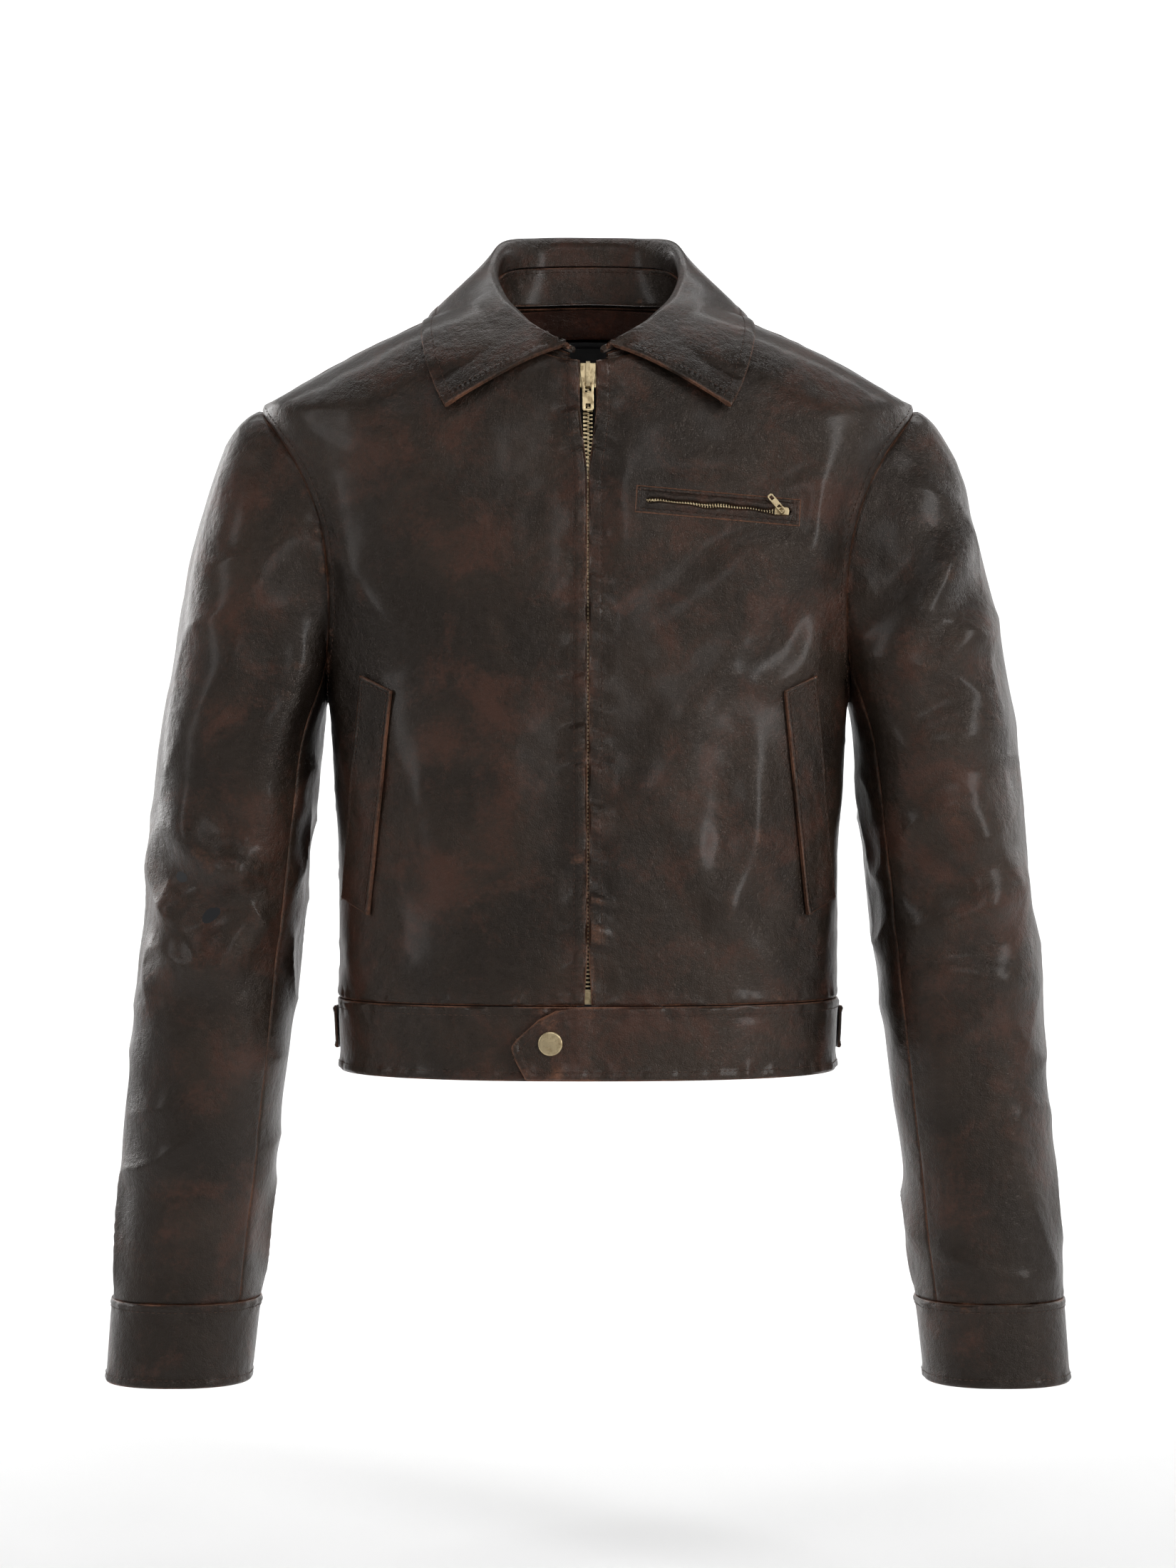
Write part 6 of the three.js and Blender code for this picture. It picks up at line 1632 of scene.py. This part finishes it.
# In metres: the floor curves up into a wall behind the jacket.
WALL_RADIUS, WALL_HEIGHT, WALL_BEND, WALL_PARTS = 3.4, 2.3, 0.8, 72
bend_turn = np.linspace(0, math.pi / 2, 12)
floor_radii = np.concatenate([[0], WALL_RADIUS - WALL_BEND + WALL_BEND * np.sin(bend_turn), [WALL_RADIUS]])
rise = np.concatenate([[0], WALL_BEND - WALL_BEND * np.cos(bend_turn), [WALL_HEIGHT]])
wall_turn = np.arange(WALL_PARTS) * 2 * math.pi / WALL_PARTS
floor_points = []
for radius, height in zip(floor_radii, rise):
    for turn in wall_turn:
        behind = float(smooth(math.sin(turn), -0.35, -0.05))
        floor_points.append((radius * math.cos(turn), radius * math.sin(turn), floor_z + height * behind))
floor_faces = []
for ring in range(len(floor_radii) - 1):
    for part in range(WALL_PARTS):
        first, following = ring * WALL_PARTS + part, ring * WALL_PARTS + (part + 1) % WALL_PARTS
        floor_faces.append((first, following, following + WALL_PARTS, first + WALL_PARTS))
floor_mesh.from_pydata(floor_points, [], floor_faces)
floor_mesh.shade_smooth()
floor_finish = Finish("pale floor", Roughness=0.9)
floor_finish.shader.inputs["Base Color"].default_value = rgb(0.85, 0.85, 0.85)
floor_mesh.materials.append(floor_finish.material)
add_object("floor", floor_mesh)


def soft_light(name, place, aim, size, power):
    light = bpy.data.lights.new(name, "AREA")
    light.shape = "RECTANGLE"
    light.size, light.size_y = size
    light.energy = power
    obj = bpy.data.objects.new(name, light)
    bpy.context.scene.collection.objects.link(obj)
    obj.location = place
    obj.rotation_euler = (Vector(aim) - Vector(place)).to_track_quat("-Z", "Y").to_euler()


MIDDLE = (0, 0, -0.32)
soft_light("key", (2.0, -1.75, 0.55), MIDDLE, (0.5, 1.5), 30)
soft_light("fill", (-2.1, -1.3, 0.5), MIDDLE, (0.4, 1.5), 11)
soft_light("front", (0.3, -2.7, 0.6), MIDDLE, (0.7, 0.7), 6)
soft_light("floor", (0, -1.6, 1.5), (0, -1.3, -0.85), (2.0, 0.7), 8)
soft_light("back left", (-1.9, 1.7, 0.5), MIDDLE, (0.55, 1.5), 24)
soft_light("back right", (2.1, 1.3, 0.5), MIDDLE, (0.45, 1.5), 10)
soft_light("backdrop", (0, 1.2, 1.9), (0, 3.4, -0.3), (3.0, 0.6), 95)
world = bpy.data.worlds.new("studio")
world.use_nodes = True
world.node_tree.nodes["Background"].inputs["Color"].default_value = rgb(1, 1, 1)
world.node_tree.nodes["Background"].inputs["Strength"].default_value = 0.07
bpy.context.scene.world = world
bpy.context.scene.view_settings.view_transform = "Standard"

camera = bpy.data.cameras.new("camera")
camera.lens = 78
camera.sensor_width = 36
camera_object = bpy.data.objects.new("camera", camera)
bpy.context.scene.collection.objects.link(camera_object)
camera_object.location = (0, -2.2, -0.312)  # level with the middle of the jacket
camera_object.rotation_euler = (math.pi / 2, 0, 0)
bpy.context.scene.camera = camera_object
